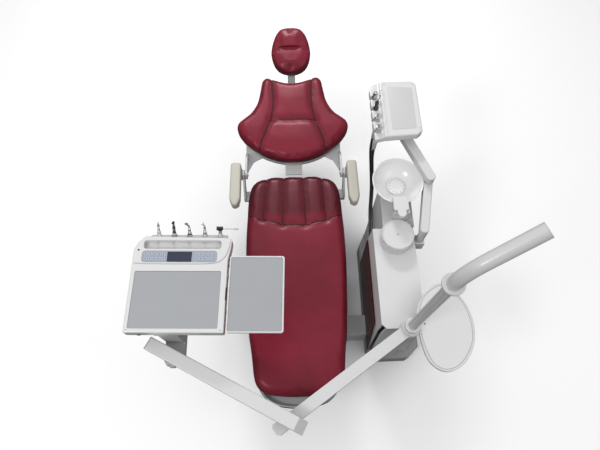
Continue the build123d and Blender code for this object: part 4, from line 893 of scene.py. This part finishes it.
def loop_tube(points, radius, seg=10):
    """Closed bead along a closed 3-D loop lying nearly flat."""
    P = [Vector(p) for p in points]
    n = len(P)
    verts, faces = [], []
    up = Vector((0, 0, 1))
    for i in range(n):
        t = (P[(i + 1) % n] - P[i - 1]).normalized()
        w = up.cross(t).normalized()
        for k in range(seg):
            a = 2 * math.pi * k / seg
            verts.append(tuple(P[i] + (w * math.cos(a) + up * math.sin(a)) * radius))
    for i in range(n):
        j = (i + 1) % n
        for k in range(seg):
            m = (k + 1) % seg
            faces.append((i * seg + k, i * seg + m, j * seg + m, j * seg + k))
    return verts, faces


def moulded(name, parts, mat, voxel, steps, body, replaces=None, amount=0.5):
    """Solids fused into one moulding with soft edges."""
    ob = join(name, parts, mat)
    remesh(ob, voxel)
    relax(ob, steps, amount)
    subdivide(ob, 1)
    relax(ob, 1)
    ob.data.polygons.foreach_set("use_smooth", [True] * len(ob.data.polygons))
    ob.data.materials.clear()
    ob.data.materials.append(M[mat])
    ob.data.update()
    if replaces:
        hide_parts(replaces)
    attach(ob, body)
    return ob


def piece(name, parts, mat, body, smooth=True, replaces=None):
    ob = join(name, parts, mat, smooth)
    if replaces:
        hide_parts(replaces)
    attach(ob, body)
    return ob


def disc(c, r, h, e, axis=(0, 0, 1), seg=40):
    return lathe(rounded_disc(r, h, e), c, axis, seg, closed=False)


# dentist's tray: pod bead, display, keys, marks
TZ = 1.0
pod = [(-.196, .086), (-.150, .0835), (-.087, .083), (0, .083), (.079, .083), (.128, .0855), (.158, .094), (.178, .112),
       (.189, .135), (.195, .158), (.1985, .184)]
pod_line = [(x, y, TZ + 0.0002) for x, y in catmull(pod, 8)]
piece("tray_pod_bead", [moved(tube(pod_line, 0.0016, 10), TRAY_W)], "white", "tray")
# a dark line beside the bead is painted shade in its groove
piece("tray_pod_groove_shade", [moved(tube([(x + 0.0016, y - 0.0024, TZ - 0.0002) for x, y, z in pod_line], 0.0007, 8), TRAY_W)],
      "seam", "tray")
kz = TZ + 0.0002
piece("keypad_frame", [moved(loop_tube([(x, y, TZ - 0.0001) for x, y in rect(-.010, .114, .3142, .0502, .0132, 8)], 0.0009), TRAY_W)],
      "pale", "tray")
piece("display_bezel", [moved(plate(rect(-.009, .1125, .102, .0445, .002), kz, kz + .0009, .0004), TRAY_W)], "black_gloss", "tray")
piece("display_glass", [moved(plate(rect(-.009, .1125, .097, .0395, .0015), kz + .0005, kz + .0013, .0003), TRAY_W)], "display", "tray")
keys, marks = [], []
for gx, cols in ((-.150, 5), (.061, 5)):
    for r in range(2):
        for c in range(cols):
            kx, ky = gx + c * .0185, .124 - r * .0195
            keys.append(moved(plate(rect(kx, ky, .0145, .0125, .003), kz, kz + .0007, .0004), TRAY_W))
            kind = (r * cols + c + (0 if gx < 0 else 3)) % 4
            mz = kz + .0007
            if kind == 0:
                marks.append(moved(disc((kx, ky, mz), .0024, .0003, .0001, seg=16), TRAY_W))
            elif kind == 1:
                marks.append(moved(plate(rect(kx, ky, .0072, .0014, .0005, 2), mz, mz + .0003, .0001, 2), TRAY_W))
                marks.append(moved(plate(rect(kx, ky, .0014, .0072, .0005, 2), mz, mz + .00032, .0001, 2), TRAY_W))
            elif kind == 2:
                marks.append(moved(plate(rounded_poly([(kx - .003, ky - .0028), (kx + .0036, ky), (kx - .003, ky + .0028)], .0006, 2), mz, mz + .0003, .0001, 2), TRAY_W))
            else:
                marks.append(moved(loop_tube([(kx + .0028 * math.cos(a * .5236), ky + .0028 * math.sin(a * .5236), mz) for a in range(12)], .0006, 6), TRAY_W))
piece("keypad_keys", keys, "keymark", "tray")
piece("keypad_symbols", marks, "display", "tray", smooth=False)
piece("tray_port", [moved(disc((-.183, .143, TZ - .0006), .0042, .0012, .0004), TRAY_W)], "black_gloss", "tray")
piece("tray_latch", [moved(box_part(.1915, .1955, -.071, -.018, .985, 1.0003, .0008), TRAY_W)], "black", "tray", smooth=False)
piece("tray_catch", [moved(box_part(-.155, -.142, -.2055, -.198, .954, .966, .0012), TRAY_W)], "black", "tray", smooth=False)
piece("tray_grip", [moved(box_part(-.110, .100, -.2046, -.200, .972, .980, .0015), TRAY_W)], "pale", "tray", smooth=False)
piece("trough_clips", [moved(tube([(x, .150, .9745), (x, .153, .983), (x, .158, .9865), (x, .176, .9865), (x, .181, .983), (x, .184, .9745)], .0016, 8), TRAY_W)
                       for x in (-.115, -.049, .017, .083, .149)], "white", "tray")
screws = []
for x, y in ((-.190, -.192), (.182, -.192)):
    screws.append(moved(disc((x, y, TZ - .0006), .0032, .0010, .0004, seg=24), TRAY_W))
piece("tray_screws", screws, "steel", "tray")

# spittoon: smooth bowl, strainer dome with slots, cup drain and rim, spout outline
bowl_out = [(0.0003, .764), (.046, .764), (.060, .770), (.088, .786), (.111, .812), (.1205, .834)]
bowl_in = [(.1155, .836), (.106, .815), (.084, .792), (.058, .777), (.030, .7725), (0.0003, .772)]
bo, bi = catmull(bowl_out, 6), catmull(bowl_in, 6)
lip = [(.1232, .8400), (.1238, .8428), (.1228, .8444), (.1210, .8450), (.1192, .8446), (.1175, .8420)]
piece("spittoon_bowl_skin", [lathe([tuple(q) for q in bo] + lip + [tuple(q) for q in bi], (.500, .382, 0), seg=128, closed=False)],
      "glaze", "base", replaces="spittoon_bowl")
dome = catmull([(0.0003, .772), (.0268, .772), (.028, .777), (.0425, .7855), (.0428, .7868), (.0405, .7892), (.034, .7925),
                (.026, .7950), (.016, .7965), (.008, .7969), (0.0003, .797)], 5)
piece("strainer_dome", [lathe([tuple(q) for q in dome], (.500, .382, 0), seg=96, closed=False)], "glaze", "strainer",
      replaces="bowl_strainer")
# dark marks laid on the dome are painted shade in its slots
slots_ = []
for i in range(12):
    a = 2 * math.pi * i / 12
    q = Matrix.Translation((.500, .382, 0)) @ Matrix.Rotation(a, 4, "Z")
    slots_.append(moved(tube([(.0345, 0, .7925), (.0365, 0, .7912), (.0385, 0, .7903)], .0010, 8), q))
piece("strainer_slot_shade", slots_, "seam", "strainer")
piece("cup_drain", [disc((.482, .125, .7855), .0026, .0040, .0004)], "black", "base")
piece("cup_rim", [loop_tube([(.482 + .0742 * math.cos(a), .125 + .0742 * math.sin(a), .7915) for a in np.linspace(0, 2 * math.pi, 97)[:-1]], .0014)],
      "white", "base")
# dark line round the spout block is painted shade in its gap
piece("spout_gap_shade", [loop_tube([(x, y, .8535) for x, y in rounded_poly([(.458, .210), (.530, .210), (.530, .282), (.458, .282)], .009)], .0005, 6)],
      "seam", "base")

# assistant's holder: thin moulded head with an open-sided rack, on a boss
top = rounded_poly([(.430, .541), (.590, .551), (.614, .572), (.613, .848), (.596, .866), (.430, .866)], [.004, .014, .016, .022, .016, .020])
ledge = [(.440, .545), (.384, .529)]
for y in (.583, .647, .711, .775):
    xe = .384 - (y - .527) * .0100
    ledge += [(xe, y - .008)]
    for k in range(11):
        a = math.radians(-136 + 272 * k / 10)
        ledge += [(.404 + .0112 * math.cos(a), y + .0112 * math.sin(a))]
    ledge += [(xe, y + .008)]
ledge += [(.3815, .820), (.390, .838), (.405, .856), (.440, .863)]
hold = [plate(top, .940, .980, .006), plate(ledge, .938, .972, .003),
        lathe([(0.0003, .890), (.028, .890), (.030, .893), (.030, .945), (0.0003, .945)], (.552, .618, 0), seg=40, closed=False)]
moulded("holder_moulding", hold, "white", .0028, 5, "assistant", "assistant_holder")
inset = rounded_poly([(.470, .580), (.586, .587), (.590, .825), (.469, .834)], .010)
piece("holder_inset", [plate(inset, .9785, .9812, .0012)], "panel", "assistant")
piece("holder_ridge", [tube([(.447, y, .9798) for y in np.linspace(.560, .850, 12)], .0016, 10)], "white", "assistant")
piece("holder_screws", [disc((x, y, .9794), .0035, .0012, .0004, seg=24) for x, y in ((.600, .588), (.598, .846), (.456, .848), (.438, .812))],
      "pale", "assistant")
# a three-way syringe and a lamp stand-in parked in the two far slots
syr = [(0.0003, .868), (.0070, .868), (.0085, .874), (.0088, .905), (.0078, .934), (.0078, .973), (.0125, .9735), (.0125, .980),
       (.0085, .985), (.0080, 1.000), (.0092, 1.006), (.0092, 1.018), (.0065, 1.023), (.0030, 1.026), (.0003, 1.026)]
piece("assistant_syringe", [lathe(syr, (.404, .711, 0), seg=40, closed=False),
                            tube([(.404, .711, 1.012), (.410, .722, 1.018), (.416, .736, 1.020), (.424, .752, 1.016)], .0019, 10)],
      "dark", "assistant")
piece("assistant_syringe_buttons", [disc((.404, .711, 1.022), .0062, .0060, .0015), disc((.398, .703, 1.004), .0040, .0200, .0012, axis=(-.5, -.8, .35))],
      "black_gloss", "assistant")
gun = [(0.0003, .876), (.0075, .876), (.0095, .884), (.0095, .925), (.0080, .934), (.0080, .973), (.0130, .9735), (.0130, .981),
       (.0100, .986), (.0115, .996), (.0100, 1.008), (.0060, 1.014), (.0003, 1.015)]
piece("assistant_spare_handle", [lathe(gun, (.404, .775, 0), seg=40, closed=False),
                                 tube([(.404, .775, 1.004), (.414, .766, 1.012), (.426, .752, 1.010)], [0.004], 10, radii=[.0050, .0042, .0026])],
      "steel", "assistant")
for nm, y, zt, bd in (("suction_lever", .583, 1.004, "suction"), ("saliva_lever", .647, 1.001, "saliva")):
    piece(nm, [disc((.404, y, zt - .014), .0125, .010, .002), box_part(.404, .425, y - .0035, y + .0035, zt - .010, zt - .006, .0012)],
          "steel", bd, smooth=True)

# arm pads and their hubs
for side, nm in ((-1, "left"), (1, "right")):
    body = "armrest_l" if side < 0 else "armrest_r"
    pts = [(.2745, .583), (.3275, .583), (.3305, .374), (.3175, .3405), (.303, .3325), (.2885, .3405), (.2755, .374)]
    lp = rounded_poly([(side * x, y) for x, y in pts], [.012, .012, .03, .012, .012, .012, .03])
    ob = moulded("armrest_pad_%s_skin" % nm, [plate(lp, .6665, .7185, .010, 5)], "pad", .0032, 6, body, "armrest_pad_" + nm)
    piece("armrest_hub_" + nm, [disc((side * .3008, .600, .550), .024, .0052, .002, axis=(side, 0, 0)),
                                disc((side * .3052, .600, .550), .009, .0018, .0008, axis=(side, 0, 0))], "pale", body)
    # dark line round the pad is painted shade at its edge
    piece("armrest_pad_shade_line_" + nm, [loop_tube([(x, y, .6805) for x, y in shrink(lp, .0004)], .0007, 8)], "seam", body)

# seat shell: dark rubber bumper round its lower edge; oval tray rim and stud, side tray lip
SHELL_RIM = [(0, -612), (62, -608), (118, -594), (158, -568), (189, -525), (209, -465), (223, -380),
             (245, -250), (257, -60), (263, 120), (262, 280), (256, 400), (243, 485), (212, 536), (160, 562), (90, 568), (0, 569)]
ring = [(x / 1000, y / 1000) for x, y in SHELL_RIM] + [(-x / 1000, y / 1000) for x, y in reversed(SHELL_RIM) if x]
piece("shell_bumper", [loop_tube([(x, y, .4545) for x, y in shrink([tuple(q) for q in catmull(ring, 8, closed=True)], .0012)], .0042)],
      "black", "seat")
EGG = [(517, -300), (531, -219), (570, -161), (651, -124), (722, -188), (752, -252), (761, -323),
       (747, -399), (688, -481), (617, -507), (560, -478), (528, -400)]
egg = [tuple(q) for q in catmull([(x / 1000, y / 1000) for x, y in EGG], 12, closed=True)]
piece("oval_tray_rim", [loop_tube([(x, y, .8052) for x, y in shrink(egg, .0042)], .0026)], "white", "oval")
# dark line inside the rim is painted shade
piece("oval_tray_groove_shade", [loop_tube([(x, y, .8061) for x, y in shrink(egg, .0105)], .0007, 8)], "seam", "oval")
piece("oval_tray_stud", [disc((.548, -.304, .8055), .0036, .0022, .0008)], "dark", "oval")
for nm, lo_x, hi_x, cx, cy in (("side_tray", -.2, -.05, .315, -.040),):
    piece("side_tray_lip", [moved(loop_tube([(x, y, .9922) for x, y in rect(cx - .001, cy, .2166, .3086, .007)], .0009), TRAY_W)],
          "white", "folding_tray")

# ------------------------------------------------------------------ floor, light, camera
floor = add("floor", [(-30, -30, -0.0005), (30, -30, -0.0005), (30, 30, -0.0005), (-30, 30, -0.0005)], [(0, 1, 2, 3)],
            "white", smooth=False)
fm, nt, out = new_mat("floor_pale")
pf = node(nt, "ShaderNodeBsdfPrincipled")
nf = noise_tex(nt, coords(nt), 0.8, 2)
nt.links.new(mixcol(nt, nf.outputs["Fac"], (0.93, 0.93, 0.93), (0.95, 0.95, 0.95)), pf.inputs["Base Color"])
pf.inputs["Roughness"].default_value = 0.9
pf.inputs["Specular IOR Level"].default_value = 0.1
nt.links.new(pf.outputs["BSDF"], out.inputs["Surface"])
floor.data.materials.clear()
floor.data.materials.append(fm)
floor.visible_diffuse = False
floor.visible_glossy = False

world = bpy.data.worlds.new("studio")
scene.world = world
world.use_nodes = True
bg = world.node_tree.nodes["Background"]
bg.inputs["Color"].default_value = (1, 1, 1, 1)
wn = world.node_tree
wc = wn.nodes.new("ShaderNodeTexCoord")
ws = wn.nodes.new("ShaderNodeSeparateXYZ")
wn.links.new(wc.outputs["Generated"], ws.inputs["Vector"])
wr = wn.nodes.new("ShaderNodeMapRange")
wr.interpolation_type = "SMOOTHSTEP"
wr.inputs["From Min"].default_value = -0.15
wr.inputs["From Max"].default_value = 1.0
wr.inputs["To Min"].default_value = 0.12
wr.inputs["To Max"].default_value = 0.86
wn.links.new(ws.outputs["Z"], wr.inputs["Value"])
wn.links.new(wr.outputs["Result"], bg.inputs["Strength"])


def area(name, loc, aim, size, power, shape="RECTANGLE", size_y=None):
    li = bpy.data.lights.new(name, "AREA")
    li.shape = shape
    li.size = size
    if size_y:
        li.size_y = size_y
    li.energy = power
    ob = bpy.data.objects.new(name, li)
    ob.location = loc
    ob.rotation_euler = (Vector(aim) - Vector(loc)).to_track_quat("-Z", "Y").to_euler()
    scene.collection.objects.link(ob)
    return ob


area("key", (-1.9, -1.6, 3.9), (0, 0.1, 0.5), 1.0, 46, size_y=1.0)
area("fill", (2.6, -1.0, 3.4), (0.2, 0.3, 0.5), 1.6, 14, size_y=1.6)
area("rim", (-0.3, 3.3, 3.4), (0, 0.6, 0.5), 1.3, 66, size_y=0.5)

cam_data = bpy.data.cameras.new("camera")
cam_data.sensor_width = 36
cam_data.lens = 492 / 600 * 36
cam = bpy.data.objects.new("camera", cam_data)
scene.collection.objects.link(cam)
yaw, eps = math.radians(1.6), math.radians(66.4)
fwd = Vector((math.sin(yaw) * math.cos(eps), math.cos(yaw) * math.cos(eps), -math.sin(eps)))
cam.location = (-0.0043, -0.75, 2.93)
cam.rotation_euler = fwd.to_track_quat("-Z", "Y").to_euler()
scene.camera = cam
scene.view_settings.view_transform = "Standard"
scene.view_settings.look = "None"
scene.view_settings.exposure = 0.0
